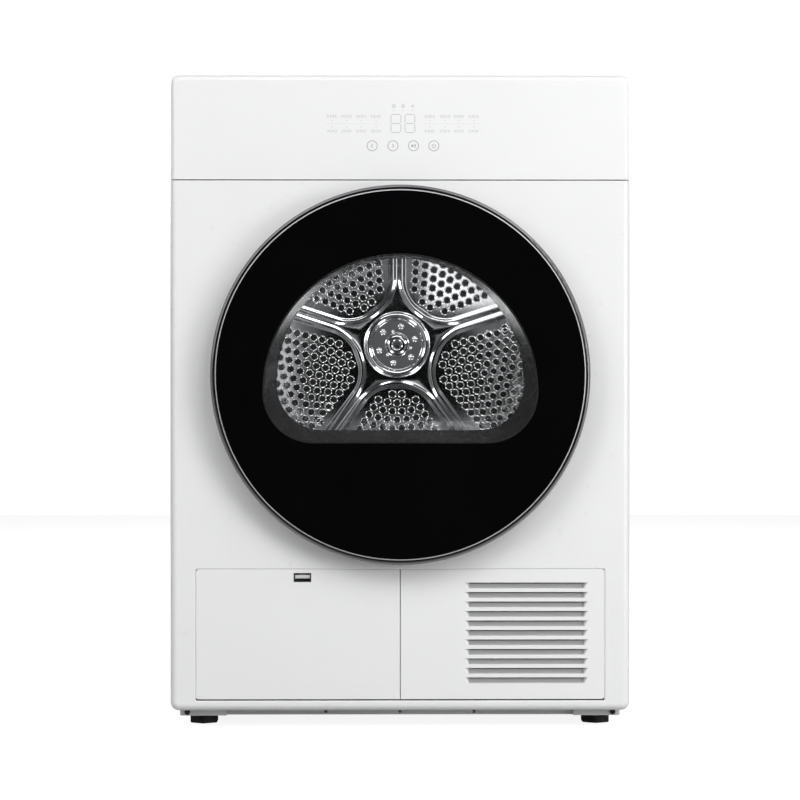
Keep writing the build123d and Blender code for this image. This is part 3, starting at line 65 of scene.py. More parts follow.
# ---------------------------------------------------------------- material building
class Shader:
    """A Principled material, with short calls for the node patterns that most finishes share."""

    def __init__(self, name):
        self.material = bpy.data.materials.new(name)
        self.material.use_nodes = True
        self.tree = self.material.node_tree
        self.surface = self.tree.nodes["Principled BSDF"]
        self.output = self.tree.nodes["Material Output"]
        self.place = self.tree.nodes.new("ShaderNodeTexCoord").outputs["Object"]

    def node(self, kind, **values):
        made = self.tree.nodes.new(kind)
        for key, value in values.items():
            setattr(made, key, value)
        return made

    def link(self, source, target):
        self.tree.links.new(source, target)

    def stretched(self, scale):
        """Object coordinates scaled by three numbers, for a grain that runs one way."""
        mapping = self.node("ShaderNodeMapping")
        mapping.inputs["Scale"].default_value = scale
        self.link(self.place, mapping.inputs["Vector"])
        return mapping.outputs["Vector"]

    def noise(self, scale, detail=3.0, roughness=0.5, vector=None):
        made = self.node("ShaderNodeTexNoise")
        made.inputs["Scale"].default_value = scale
        made.inputs["Detail"].default_value = detail
        made.inputs["Roughness"].default_value = roughness
        self.link(vector or self.place, made.inputs["Vector"])
        return made.outputs["Fac"]

    def spread(self, source, low, high, from_low=0.3, from_high=0.7):
        """Maps a pattern to the range low to high."""
        made = self.node("ShaderNodeMapRange")
        made.inputs["From Min"].default_value = from_low
        made.inputs["From Max"].default_value = from_high
        made.inputs["To Min"].default_value = low
        made.inputs["To Max"].default_value = high
        self.link(source, made.inputs["Value"])
        return made.outputs["Result"]

    def colours(self, source, first, second):
        """Blends two colours by a pattern."""
        made = self.node("ShaderNodeMix", data_type="RGBA")
        made.inputs[6].default_value = (*first, 1)
        made.inputs[7].default_value = (*second, 1)
        self.link(source, made.inputs[0])
        return made.outputs[2]

    def worn_edges(self, radius):
        """1 on sharp outer edges and 0 on flat faces."""
        bevel = self.node("ShaderNodeBevel", samples=4)
        bevel.inputs["Radius"].default_value = radius
        geometry = self.node("ShaderNodeNewGeometry")
        dot = self.node("ShaderNodeVectorMath", operation="DOT_PRODUCT")
        self.link(bevel.outputs["Normal"], dot.inputs[0])
        self.link(geometry.outputs["Normal"], dot.inputs[1])
        return self.spread(dot.outputs["Value"], 1.0, 0.0, 0.75, 0.99)

    def bump(self, source, height, under=None):
        made = self.node("ShaderNodeBump")
        made.inputs["Strength"].default_value = 1.0
        made.inputs["Distance"].default_value = height
        self.link(source, made.inputs["Height"])
        if under is not None:
            self.link(under, made.inputs["Normal"])
        return made.outputs["Normal"]

    def set(self, **values):
        for key, value in values.items():
            self.surface.inputs[key.replace("_", " ")].default_value = value

    def drive(self, **sources):
        for key, source in sources.items():
            self.link(source, self.surface.inputs[key.replace("_", " ")])


def shade(colour, factor):
    return tuple(min(1.0, channel * factor) for channel in colour)


def coated(name, colour, rough, peel, height, wear, coat=0.0):
    """Paint or gloss plastic: a slight orange peel, and faint changes of tone and gloss."""
    look = Shader(name)
    tone = look.spread(look.noise(9.0, 4.0), 0.0, 1.0)
    look.drive(Base_Color=look.colours(tone, shade(colour, 1 - wear), colour))
    look.drive(Roughness=look.spread(look.noise(60.0, 5.0), rough * 0.85, rough * 1.2))
    look.drive(Normal=look.bump(look.noise(peel, 2.0), height))
    look.set(Specular_IOR_Level=0.5, Coat_Weight=coat, Coat_Roughness=0.08)
    return look.material


def moulded(name, colour, rough, grain=1400.0, wear=0.25):
    """Moulded plastic: fine spark-eroded grain, faint flow marks, and edges rubbed lighter."""
    look = Shader(name)
    flow = look.noise(14.0, 3.0, vector=look.stretched((1.0, 1.0, 3.0)))
    base = look.colours(look.spread(flow, 0.0, 1.0), shade(colour, 0.88), colour)
    mix = look.node("ShaderNodeMix", data_type="RGBA")
    mix.inputs[7].default_value = (*[c + (1 - c) * wear for c in colour], 1)
    look.link(look.worn_edges(0.6 * MM), mix.inputs[0])
    look.link(base, mix.inputs[6])
    look.drive(Base_Color=mix.outputs[2])
    look.drive(Roughness=look.spread(look.noise(220.0, 4.0), rough * 0.85, min(1.0, rough * 1.15)))
    look.drive(Normal=look.bump(look.noise(grain, 2.0), 0.06 * MM))
    return look.material


def metal(name, colour, rough, scale, height=0.02 * MM, grain=(1.0, 1.0, 1.0), spangle=0.0):
    """Bare metal with faint stains. Its grain is longest where the number in grain is smallest."""
    look = Shader(name)
    lines = look.noise(scale, 6.0, 0.7, look.stretched(grain))
    stain = look.noise(12.0, 4.0)
    look.drive(Base_Color=look.colours(look.spread(stain, 0.0, 1.0), shade(colour, 0.9), colour))
    look.drive(Roughness=look.spread(lines, rough * 0.8, rough * 1.3))
    normal = look.bump(lines, height)
    if spangle:
        cells = look.node("ShaderNodeTexVoronoi")
        cells.inputs["Scale"].default_value = 90.0
        look.link(look.place, cells.inputs["Vector"])
        normal = look.bump(cells.outputs["Distance"], spangle, under=normal)
    look.drive(Normal=normal)
    look.set(Metallic=1.0)
    return look.material


def rubber(name, colour):
    """Matt rubber with a little dust."""
    look = Shader(name)
    rough = 0.75
    dust = look.spread(look.noise(35.0, 6.0), 0.0, 1.0, 0.5, 0.8)
    look.drive(Base_Color=look.colours(dust, colour, tuple(c + 0.05 for c in colour)))
    look.drive(Roughness=look.spread(look.noise(150.0, 4.0), rough * 0.85, rough * 1.1))
    look.drive(Normal=look.bump(look.noise(900.0, 3.0), 0.08 * MM))
    return look.material


def felt_cloth(name, colour):
    """Pressed wool felt with loose fibres."""
    look = Shader(name)
    fibres = look.noise(700.0, 6.0, 0.7)
    look.drive(Base_Color=look.colours(look.spread(fibres, 0.0, 1.0), shade(colour, 0.7), colour))
    look.drive(Normal=look.bump(fibres, 0.6 * MM))
    look.set(Roughness=0.95, Sheen_Weight=0.4)
    return look.material


def clear_glass(name):
    """Pressed glass of the door's bowl: clear face on, and a mirror towards its edges."""
    look = Shader(name)
    mirror = look.surface
    look.drive(Roughness=look.spread(look.noise(25.0, 3.0), 0.02, 0.06))
    look.drive(Normal=look.bump(look.noise(30.0, 2.0), 0.02 * MM))
    look.set(Base_Color=(1, 1, 1, 1), Metallic=1.0)
    clear = look.node("ShaderNodeBsdfTransparent")
    clear.inputs["Color"].default_value = (0.975, 0.985, 0.985, 1)
    angle = look.node("ShaderNodeFresnel")
    angle.inputs["IOR"].default_value = 1.45
    mix = look.node("ShaderNodeMixShader")
    most = 0.14  # share of the mirror where the glass is seen edge on
    look.link(look.spread(angle.outputs["Fac"], 0.0, most, 0.0, 1.0), mix.inputs[0])
    look.link(clear.outputs["BSDF"], mix.inputs[1])
    look.link(mirror.outputs["BSDF"], mix.inputs[2])
    look.link(mix.outputs["Shader"], look.output.inputs["Surface"])
    return look.material


def printed_ink(name, colour):
    """Screen-printed ink with a fine unevenness."""
    look = Shader(name)
    look.drive(Base_Color=look.colours(look.noise(800.0, 2.0), shade(colour, 0.92), colour))
    look.drive(Normal=look.bump(look.noise(2500.0, 2.0), 0.01 * MM))
    look.set(Roughness=0.5)
    return look.material


def circuit_board(name, colour):
    """Lacquered board with a pattern of tracks."""
    look = Shader(name)
    tracks = look.node("ShaderNodeTexBrick")
    tracks.inputs["Scale"].default_value = 120.0
    tracks.inputs["Mortar Size"].default_value = 0.03
    look.link(look.place, tracks.inputs["Vector"])
    look.drive(Base_Color=look.colours(tracks.outputs["Fac"], colour, shade(colour, 2.0)))
    look.drive(Normal=look.bump(tracks.outputs["Fac"], 0.1 * MM))
    look.set(Roughness=0.35)
    return look.material


def painted_shade_louvres(name, colour):
    """White plastic with painted shade, darkening to half its colour with the depth of the louvres."""
    look = Shader(name)
    split = look.node("ShaderNodeSeparateXYZ")
    look.link(look.place, split.inputs[0])
    # painted shade: the colour runs from white at a louvre's mouth to half as bright at its floor
    mouth, floor = FASCIA_Y + 1.0 * MM, FASCIA_Y + 4.5 * MM
    depth = look.spread(split.outputs["Y"], 0.0, 1.0, mouth, floor)
    look.drive(Base_Color=look.colours(depth, colour, shade(colour, 0.5)))
    look.drive(Roughness=look.spread(look.noise(60.0, 5.0), 0.31, 0.43))
    look.drive(Normal=look.bump(look.noise(1500.0, 2.0), 0.015 * MM))
    return look.material


def ring_with_painted_reflection(name):
    """Black door ring whose grey outer edge is a painted reflection of the bright room, told apart by the
    distance from the door's middle.
    """
    look = Shader(name)
    low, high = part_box("door_outer_ring")
    outer = (high.x - low.x) / 2
    black_to, reflection_from = outer - 3.6 * MM, outer - 2.4 * MM
    away = look.node("ShaderNodeVectorMath", operation="SUBTRACT")
    away.inputs[1].default_value = (0.0, 0.0, DOOR_Z)
    look.link(look.place, away.inputs[0])
    flat = look.node("ShaderNodeVectorMath", operation="MULTIPLY")
    flat.inputs[1].default_value = (1.0, 0.0, 1.0)
    look.link(away.outputs["Vector"], flat.inputs[0])
    radius = look.node("ShaderNodeVectorMath", operation="LENGTH")
    look.link(flat.outputs["Vector"], radius.inputs[0])
    # painted reflection: the outer band turns from black to grey, standing for the room mirrored in the
    # ring's rounded edge
    edge = look.spread(radius.outputs["Value"], 0.0, 1.0, black_to, reflection_from)
    look.drive(Base_Color=look.colours(edge, (0.008, 0.008, 0.009), (0.16, 0.16, 0.165)))
    look.drive(Roughness=look.spread(look.noise(60.0, 5.0), 0.14, 0.2))
    look.drive(Normal=look.bump(look.noise(900.0, 2.0), 0.003 * MM))
    look.set(Coat_Weight=0.6, Coat_Roughness=0.08)
    return look.material


WHITE = (0.80, 0.802, 0.805)
BLACK_GLASS = (0.0022, 0.0022, 0.0026)
# the kind of each finish and its details: colour, roughness, size and depth of its grain, and wear
FINISHES = {
    "white_paint": (coated, dict(colour=WHITE, rough=0.32, peel=1100.0, height=0.02 * MM, wear=0.02)),
    "white_plastic": (coated, dict(colour=WHITE, rough=0.36, peel=1500.0, height=0.015 * MM, wear=0.02)),
    "louvre_white": (painted_shade_louvres, dict(colour=WHITE)),
    "light_plastic": (moulded, dict(colour=(0.62, 0.63, 0.64), rough=0.5)),
    "grey_plastic": (moulded, dict(colour=(0.10, 0.10, 0.105), rough=0.5)),
    "dark_plastic": (moulded, dict(colour=(0.018, 0.018, 0.02), rough=0.5, wear=0.08)),
    "tank_plastic": (moulded, dict(colour=(0.55, 0.60, 0.62), rough=0.35, grain=500.0)),
    "lever_blue": (moulded, dict(colour=(0.03, 0.12, 0.30), rough=0.45)),
    "black_gloss": (coated, dict(colour=BLACK_GLASS, rough=0.06, peel=500.0, height=0.002 * MM, wear=0.2)),
    "ring_grey": (ring_with_painted_reflection, {}),
    "bezel_grey": (
        coated, dict(colour=(0.02, 0.02, 0.021), rough=0.26, peel=900.0, height=0.01 * MM, wear=0.15),
    ),
    # painted highlight: a flat silver-grey that stands for the light caught on the glass's bevelled edge
    "trim_silver": (
        coated,
        dict(colour=(0.50, 0.50, 0.51), rough=0.25, peel=900.0, height=0.005 * MM, wear=0.05, coat=0.5),
    ),
    "motor_paint": (
        coated, dict(colour=(0.02, 0.02, 0.022), rough=0.4, peel=700.0, height=0.05 * MM, wear=0.3),
    ),
    "compressor_paint": (
        coated, dict(colour=(0.012, 0.012, 0.013), rough=0.3, peel=500.0, height=0.06 * MM, wear=0.3),
    ),
    "clear_glass": (clear_glass, {}),
    "seal_rubber": (rubber, dict(colour=(0.05, 0.05, 0.052))),
    "foot_rubber": (rubber, dict(colour=(0.012, 0.012, 0.012))),
    "belt_rubber": (rubber, dict(colour=(0.015, 0.015, 0.015))),
    "felt": (felt_cloth, dict(colour=(0.35, 0.35, 0.34))),
    "drum_steel": (metal, dict(colour=(0.80, 0.80, 0.81), rough=0.11, scale=400.0, height=0.0002 * MM)),
    "hub_satin": (metal, dict(colour=(0.22, 0.22, 0.225), rough=0.5, scale=400.0, height=0.002 * MM)),
    "shell_steel": (metal, dict(colour=(0.20, 0.20, 0.205), rough=0.3, scale=200.0, height=0.002 * MM)),
    "rivet_steel": (metal, dict(colour=(0.90, 0.90, 0.91), rough=0.12, scale=200.0, height=0.001 * MM)),
    "zinc_steel": (
        metal, dict(colour=(0.55, 0.56, 0.58), rough=0.38, scale=60.0, height=0.01 * MM, spangle=0.05 * MM),
    ),
    "shaft_steel": (metal, dict(colour=(0.55, 0.55, 0.56), rough=0.25, scale=60.0, grain=(1.0, 30.0, 1.0))),
    "screw_steel": (metal, dict(colour=(0.05, 0.05, 0.052), rough=0.35, scale=300.0)),
    "fin_aluminium": (metal, dict(colour=(0.78, 0.79, 0.80), rough=0.3, scale=50.0, grain=(1.0, 1.0, 20.0))),
    "copper_brass": (metal, dict(colour=(0.80, 0.36, 0.20), rough=0.25, scale=50.0, grain=(8.0, 8.0, 1.0))),
    "bronze": (metal, dict(colour=(0.50, 0.33, 0.16), rough=0.45, scale=200.0, height=0.04 * MM)),
    "board_green": (circuit_board, dict(colour=(0.01, 0.09, 0.035))),
    "print_grey": (printed_ink, dict(colour=(0.30, 0.30, 0.31))),
    "print_pale": (printed_ink, dict(colour=(0.52, 0.52, 0.53))),
}
MATERIALS = {name: make(name, **details) for name, (make, details) in FINISHES.items()}
# nodes that look different from the rest of their slot
NODE_MATERIALS = {"lower_grille": "louvre_white", "drum_shell": "shell_steel"}


def give_materials():
    """Puts each CAD node's material on it, by the record's slot."""
    slots = {part["node"]: part["material_slot"] for part in frame["record"]["subparts"]}
    for name, node in frame["nodes"].items():
        for slot in node.material_slots:
            slot.material = MATERIALS[NODE_MATERIALS.get(name, slots[name])]


give_materials()


# ---------------------------------------------------------------- mesh helpers
def new_object(name, vertices, faces, body, slot, material=None, smooth=True):
    """Makes an object from points and faces, in the row frame, and hangs it on its body.

    It looks like its slot, unless it is given a material of its own.
    """
    mesh = bpy.data.meshes.new(name)
    mesh.from_pydata([tuple(v) for v in vertices], [], faces)
    mesh.update()
    if smooth:
        mesh.shade_smooth()
    made = bpy.data.objects.new(name, mesh)
    bpy.context.scene.collection.objects.link(made)
    mesh.materials.append(MATERIALS[material or slot])
    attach(made, body)
    return made


def lathe(name, profile, body, slot, segments=160, centre=None, material=None):
    """Turns a (radius, height towards the front) profile about a line along Y through centre."""
    x0, y0, z0 = centre or (0.0, DRUM_BACK_Y, DRUM_Z)
    count = len(profile)
    vertices, faces = [], []
    for i in range(segments):
        turn = 2 * math.pi * i / segments
        for radius, rise in profile:
            vertices.append((x0 + radius * math.cos(turn), y0 - rise, z0 + radius * math.sin(turn)))
    for i in range(segments):
        here, there = i * count, (i + 1) % segments * count
        for j in range(count - 1):
            faces.append((here + j, here + j + 1, there + j + 1, there + j))
    return new_object(name, vertices, faces, body, slot, material)


def curve_through(points, steps):
    """Smooth line through the points, for a turned profile."""
    pts = [Vector(p) for p in points]
    pts = [2 * pts[0] - pts[1]] + pts + [2 * pts[-1] - pts[-2]]
    line = []
    for a, b, c, d in zip(pts, pts[1:], pts[2:], pts[3:]):
        for k in range(steps):
            t = k / steps
            bend = (2 * a - 5 * b + 4 * c - d) * t**2 + (3 * b - a - 3 * c + d) * t**3
            line.append(0.5 * (2 * b + (c - a) * t + bend))
    return [tuple(p) for p in line] + [tuple(pts[-2])]


# ---------------------------------------------------------------- painted highlight line of the door, and the lower seam
def door_edge_highlight():
    """Thin line on the bevelled edge of the door's front plate, whose flat silver-grey is a painted
    highlight of that edge.
    """
    radius = (glass_high.x - glass_low.x) / 2
    # millimetres outside the glass's edge, and behind its front face
    steps = ((-1.75, 0.02), (-1.2, 0.03), (-0.6, 0.3), (-0.05, 0.85), (0.22, 1.5), (0.25, 3.0))
    profile = [(radius + out * MM, -down * MM) for out, down in steps]
    middle = (0, glass_low.y, DOOR_Z)
    lathe("door_edge_painted_highlight", profile, "door", "shaft_steel", 240, middle, "trim_silver")


def seam_backing():
    """White return flange seen at the bottom of the seam around the flap and the grille."""
    flap_low, flap_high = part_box("flap_panel")
    grille_low, grille_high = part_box("lower_grille")
    left, right = flap_low.x, grille_high.x
    bottom, top = max(flap_low.z, grille_low.z), max(flap_high.z, grille_high.z)
    near, far = 0.05 * MM, 0.75 * MM  # from the covers' edges to the strip's two sides
    depth = FASCIA_Y + 1.3 * MM
    strips = (
        (left - far, left - near, bottom, top + far),
        (right + near, right + far, bottom, top + far),
        (left - near, right + near, top + near, top + far),
    )
    vertices, faces = [], []
    for x0, x1, z0, z1 in strips:
        start = len(vertices)
        vertices += [(x0, depth, z0), (x1, depth, z0), (x1, depth, z1), (x0, depth, z1)]
        faces.append(tuple(range(start, start + 4)))
    new_object("seam_backing", vertices, faces, "cabinet", "white_paint", smooth=False)


# ---------------------------------------------------------------- drum back
SECTORS = [math.radians(54 + 72 * i) for i in range(5)]
HALF_SECTOR = math.radians(36)
SPOKE_HALF = 14.5 * MM  # from a spoke's middle to the perforated field
FIELD_IN = 66.6 * MM
FIELD_OUT = 250.0 * MM
FIELD_CORNER = 16.0 * MM  # corner radius of a field
HOLE_PITCH = 14.3 * MM
ROW_PITCH = 12.7 * MM
FIRST_ROW = 74.5 * MM
HOLE_R = 4.5 * MM
DIMPLE_R = 6.3 * MM  # outer radius of the raised lip of a hole
HOLE_SIDES = 16
HUB_EDGE = 52 * MM  # circle inside which the sheet is flat under the hub cap
SHEET_R = DRUM_BACK_R - 0.3 * MM
# distance outside a field's edge and height of the bead there, in millimetres
BEAD = (
    (0.0, 0.0), (1.5, 0.0), (2.4, 0.25), (5.6, 1.75), (6.5, 2.0),
    (9.0, 2.0), (10.0, 1.75), (13.2, 0.25), (14.5, 0.0),
)
# distances outside a field's edge, in millimetres, at which the mesh follows its outline
CONTOURS = (-0.6, 0.0, 0.5, 1.0, 1.8, 3.0, 4.2, 5.4, 6.4, 7.4, 8.4, 9.4, 10.4, 11.6, 12.6, 13.4, 14.2)


def outside_field(u, v, middle):
    """Distance outside the field about the direction middle, in metres. Negative inside it."""
    along = u * math.cos(middle) + v * math.sin(middle)
    side = np.abs(-u * math.sin(middle) + v * math.cos(middle))
    walls = np.stack([
        SPOKE_HALF - (along * math.sin(HALF_SECTOR) - side * math.cos(HALF_SECTOR)),
        FIELD_IN - along,
        np.hypot(u, v) - FIELD_OUT,
    ])
    pushed = walls + FIELD_CORNER
    corner = np.sqrt((np.maximum(pushed, 0) ** 2).sum(0))
    return corner + np.minimum(pushed.max(0), 0) - FIELD_CORNER


def outside_fields(u, v):
    """Distance outside the nearest perforated field, in metres."""
    return np.minimum.reduce([outside_field(u, v, middle) for middle in SECTORS])


def bead_height(u, v):
    """Height of the rounded bead that runs around each field."""
    distance = np.clip(outside_fields(u, v) / MM, 0, BEAD[-1][0])
    spots, heights = zip(*BEAD)
    fine = np.linspace(0, BEAD[-1][0], 400)
    raw = np.interp(fine, spots, heights)
    rounding = 13  # half the width of the rounding, in steps of the fine profile
    kernel = np.hanning(2 * rounding + 1)
    padded = np.pad(raw, rounding, mode="edge")
    soft = np.convolve(padded, kernel / kernel.sum(), mode="valid")
    return np.interp(distance, fine, soft) * MM


def hole_centres():
    """Rows of holes on arcs about the hub, kept where they fit inside a field."""
    centres = []
    for middle in SECTORS:
        row = 0
        radius = FIRST_ROW
        while radius < FIELD_OUT:
            reach = int(radius * HALF_SECTOR / HOLE_PITCH) + 1
            for j in range(-reach - 1, reach + 1):
                turn = middle + (j + 0.5 * ((row + 1) % 2)) * HOLE_PITCH / radius
                centres.append((radius * math.cos(turn), radius * math.sin(turn)))
            row += 1
            radius += ROW_PITCH
    points = np.array(centres)
    inside = outside_fields(points[:, 0], points[:, 1]) < -(DIMPLE_R + 0.3 * MM)
    return points[inside]


def field_outlines(level):
    """Each field's outline moved out by level, as points found on rays from the field's middle."""
    turns = np.linspace(0, 2 * math.pi, 260, endpoint=False)
    step = np.stack([np.cos(turns), np.sin(turns)], 1)
    found = []
    for middle in SECTORS:
        centre = np.array([math.cos(middle), math.sin(middle)]) * 160 * MM
        near, far = np.zeros(len(turns)), np.full(len(turns), 160 * MM)
        for _ in range(22):
            half = (near + far) / 2
            p = centre + step * half[:, None]
            outside = outside_field(p[:, 0], p[:, 1], middle) > level
            far = np.where(outside, half, far)
            near = np.where(outside, near, half)
        found.append(centre + step * near[:, None])
    return found


def add_contours(flat, edges):
    """Adds the outlines of the beads, apart from where another field is nearer, with their edges."""
    for level in CONTOURS:
        for outline in field_outlines(level * MM):
            last = None
            for p in list(outline) + [outline[0]]:
                on_sheet = HUB_EDGE + 1 * MM < math.hypot(*p) < SHEET_R - 5 * MM
                if on_sheet and abs(outside_fields(*p) - level * MM) < 0.02 * MM:
                    flat.append(tuple(p))
                    if last is not None:
                        edges.append((last, len(flat) - 1))
                    last = len(flat) - 1
                else:
                    last = None


def sheet_triangles(holes):
    """Points and triangles of the flat sheet, with its holes left open."""
    flat, edges = [], []
    for cx, cz in holes:
        first = len(flat)
        for k in range(HOLE_SIDES):
            turn = 2 * math.pi * k / HOLE_SIDES
            flat.append((cx + DIMPLE_R * math.cos(turn), cz + DIMPLE_R * math.sin(turn)))
            edges.append((first + k, first + (k + 1) % HOLE_SIDES))
    for radius, count in ((SHEET_R, 240), (SHEET_R - 4 * MM, 240), (46 * MM, 160), (HUB_EDGE, 160)):
        turns = np.linspace(0, 2 * math.pi, count, endpoint=False)
        flat += [(radius * math.cos(t), radius * math.sin(t)) for t in turns]
    add_contours(flat, edges)
    points, _, triangles, *_ = delaunay_2d_cdt([Vector(p) for p in flat], edges, [], 0, 1e-7)
    points = np.array([tuple(p) for p in points])
    triangles = np.array([tuple(t) for t in triangles])
    middles = points[triangles].mean(1)
    keep = np.hypot(middles[:, 0], middles[:, 1]) > 40 * MM
    for cx, cz in holes:
        keep &= np.hypot(middles[:, 0] - cx, middles[:, 1] - cz) > DIMPLE_R * 0.97
    return points, [tuple(int(i) for i in t) for t in triangles[keep]]


def bead_normals(u, v):
    """Normals of the beads, worked out from their slopes, so that their highlights run clean."""
    step = 0.15 * MM
    slope_u = (bead_height(u + step, v) - bead_height(u - step, v)) / (2 * step)
    slope_v = (bead_height(u, v + step) - bead_height(u, v - step)) / (2 * step)
    return [Vector((-a, -1.0, -b)).normalized() for a, b in zip(slope_u, slope_v)]


def drum_back_sheet():
    """Pressed steel sheet with its beads. Returns the middles of its holes."""
    holes = hole_centres()
    points, faces = sheet_triangles(holes)
    heights = bead_height(points[:, 0], points[:, 1])
    vertices = [(u, DRUM_BACK_Y - h, DRUM_Z + v) for (u, v), h in zip(points, heights)]
    sheet = new_object("drum_back_sheet", vertices, faces, "drum", "drum_steel")
    if sheet.data.polygons[0].normal.y > 0:
        sheet.data.flip_normals()
    sheet.data.normals_split_custom_set_from_vertices(bead_normals(points[:, 0], points[:, 1]))
    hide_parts("drum_back")
    return holes


def drum_back_dimples(holes):
    """Raised lip and rolled-in wall of every hole."""
    profile = (
        (DIMPLE_R, 0.0), (5.9 * MM, 0.55 * MM), (5.3 * MM, 1.0 * MM), (4.8 * MM, 0.7 * MM),
        (HOLE_R, -0.3 * MM), (4.3 * MM, -2.2 * MM), (4.1 * MM, -5.0 * MM),
    )
    vertices, faces = [], []
    for cx, cz in holes:
        first = len(vertices)
        for radius, rise in profile:
            for k in range(HOLE_SIDES):
                turn = 2 * math.pi * k / HOLE_SIDES
                x, z = cx + radius * math.cos(turn), cz + radius * math.sin(turn)
                vertices.append((x, DRUM_BACK_Y - rise, DRUM_Z + z))
        for ring in range(len(profile) - 1):
            for k in range(HOLE_SIDES):
                a = first + ring * HOLE_SIDES + k
                b = first + ring * HOLE_SIDES + (k + 1) % HOLE_SIDES
                faces.append((a, b, b + HOLE_SIDES, a + HOLE_SIDES))
    new_object("drum_back_dimples", vertices, faces, "drum", "drum_steel")


def drum_hub():
    """Hub cap with its raised rim and boss, its matt face, and the end of the shaft in the boss."""
    # radius and height in front of the sheet, in millimetres
    profile = [
        (4.0, -1.0), (5.4, -0.6), (6.2, 4.2), (7.6, 6.6), (10.5, 7.0), (13.5, 6.0), (16.2, 3.4), (17.6, 1.9),
        (19.5, 1.6), (27.0, 1.6), (35.0, 1.6), (37.0, 1.9), (38.4, 3.4), (40.4, 5.6), (43.2, 6.9),
        (46.0, 6.3), (48.2, 4.4), (49.4, 2.4), (49.8, 0.5),
    ]
    smooth = curve_through([(r * MM, h * MM) for r, h in profile], 5)
    hub = lathe("drum_hub_cap", smooth, "drum", "drum_steel", 200)
    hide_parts("drum_hub_cover")
    floor = [(0.2 * MM, -0.4 * MM), (5.6 * MM, -0.4 * MM)]
    lathe("drum_hub_centre", floor, "drum", "shaft_steel", 60)
    face = [(18.4 * MM, 1.66 * MM), (36.4 * MM, 1.66 * MM)]
    lathe("drum_hub_face", face, "drum", "drum_steel", 120, material="hub_satin")


def rivet_mesh(cx, cz, radius, rise, lobes):
    """A rivet head with shallow lobes pressed into it."""
    sides, rings = 36, 9
    seat = DRUM_BACK_Y - 1.6 * MM
    vertices, faces = [(cx, seat - rise * 0.55, DRUM_Z + cz)], []
    for i in range(1, rings + 1):
        share = i / rings
        for k in range(sides):
            turn = 2 * math.pi * k / sides
            dome = math.cos(share * math.pi / 2) ** 0.7
            press = 0.45 * math.exp(-((share - 0.45) / 0.22) ** 2) * (0.5 - 0.5 * math.cos(lobes * turn))
            hollow = 0.45 * (1 - share) ** 2 if lobes else 0
            height = rise * (dome * (1 - press) - hollow)
            vertices.append((
                cx + radius * share * math.cos(turn),
                seat + 0.05 * MM - max(height, 0.0),
                DRUM_Z + cz + radius * share * math.sin(turn),
            ))
    for k in range(sides):
        faces.append((0, 1 + k, 1 + (k + 1) % sides))
    for i in range(rings - 1):
        for k in range(sides):
            a, b = 1 + i * sides + k, 1 + i * sides + (k + 1) % sides
            faces.append((a, a + sides, b + sides, b))
    return vertices, faces


def drum_rivets():
    """Six large rivets and three small ones on the hub's face."""
    vertices, faces = [], []
    # radius of the ring that they are on, angle, radius, height and number of lobes
    heads = [(28.0, 18 + 60 * k, 4.8, 2.4, 3) for k in range(6)]
    heads += [(20.8, 107 - 120 * k, 2.6, 1.4, 0) for k in range(3)]
    for ring, angle, radius, rise, lobes in heads:
        turn = math.radians(angle)
        x, z = ring * MM * math.cos(turn), ring * MM * math.sin(turn)
        more, shapes = rivet_mesh(x, z, radius * MM, rise * MM, lobes)
        start = len(vertices)
        vertices += more
        faces += [tuple(start + i for i in f) for f in shapes]
    rivets = new_object("drum_rivet_heads", vertices, faces, "drum", "shaft_steel", "rivet_steel")
    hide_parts("drum_hub_rivets")


def drum_painted_shade_sheet():
    """Dark sheet close behind the perforated one, a painted shade that makes the holes look deep."""
    behind = -6.5 * MM
    profile = [(58 * MM, behind), (DRUM_BACK_R - 2 * MM, behind)]
    lathe("drum_back_painted_shade", profile, "drum", "dark_plastic")


door_edge_highlight()
seam_backing()
drum_back_dimples(drum_back_sheet())
drum_painted_shade_sheet()
drum_hub()
drum_rivets()


# ---------------------------------------------------------------- prints on the fascia
PRINT_RISE = 0.08 * MM
KEY_Z = 753.6
KEY_XS = (-36.3, -9.4, 17.1, 43.5)
DIGITS_LOW, DIGITS_HIGH = 770.8, 794.2
SIGNS_Z, SIGN_DOTS_Z = 804.9, 799.5
MARK_COLUMNS = ((-88.1, -69.1, -50.4, -31.3), (38.3, 57.9, 76.0, 95.2))
MARK_ROWS, MARK_DOTS = (791.6, 772.5), (786.2, 778.1)
DASH_LINES, DASH_LOW, DASH_HIGH = ((-95.8, -24.0), (30.9, 103.0)), 781.95, 782.25


class Ink:
    """Flat shapes printed on the fascia, in millimetres from the cabinet's middle and the floor."""

    def __init__(self):
        self.vertices, self.faces = [], []

    def polygon(self, points):
        start = len(self.vertices)
        self.vertices += [(x * MM, FASCIA_Y - PRINT_RISE, z * MM) for x, z in points]
        self.faces.append(tuple(range(start, start + len(points))))

    def bar(self, x0, x1, z0, z1):
        self.polygon([(x0, z0), (x1, z0), (x1, z1), (x0, z1)])

    def stroke(self, start, end, width):
        dx, dz = end[0] - start[0], end[1] - start[1]
        length = math.hypot(dx, dz)
        ox, oz = -dz / length * width / 2, dx / length * width / 2
        self.polygon([
            (start[0] - ox, start[1] - oz), (end[0] - ox, end[1] - oz),
            (end[0] + ox, end[1] + oz), (start[0] + ox, start[1] + oz),
        ])

    def arc(self, x, z, radius, width, first=0.0, last=360.0, steps=48):
        for k in range(steps):
            a, b = (math.radians(first + (last - first) * j / steps) for j in (k, k + 1))
            inner, outer = radius - width / 2, radius + width / 2
            corners = ((inner, a), (outer, a), (outer, b), (inner, b))
            self.polygon([(x + r * math.cos(turn), z + r * math.sin(turn)) for r, turn in corners])

    def make(self, name, material):
        """Turns the shapes drawn so far into one print."""
        new_object(name, self.vertices, self.faces, "cabinet", "dark_plastic", material, smooth=False)


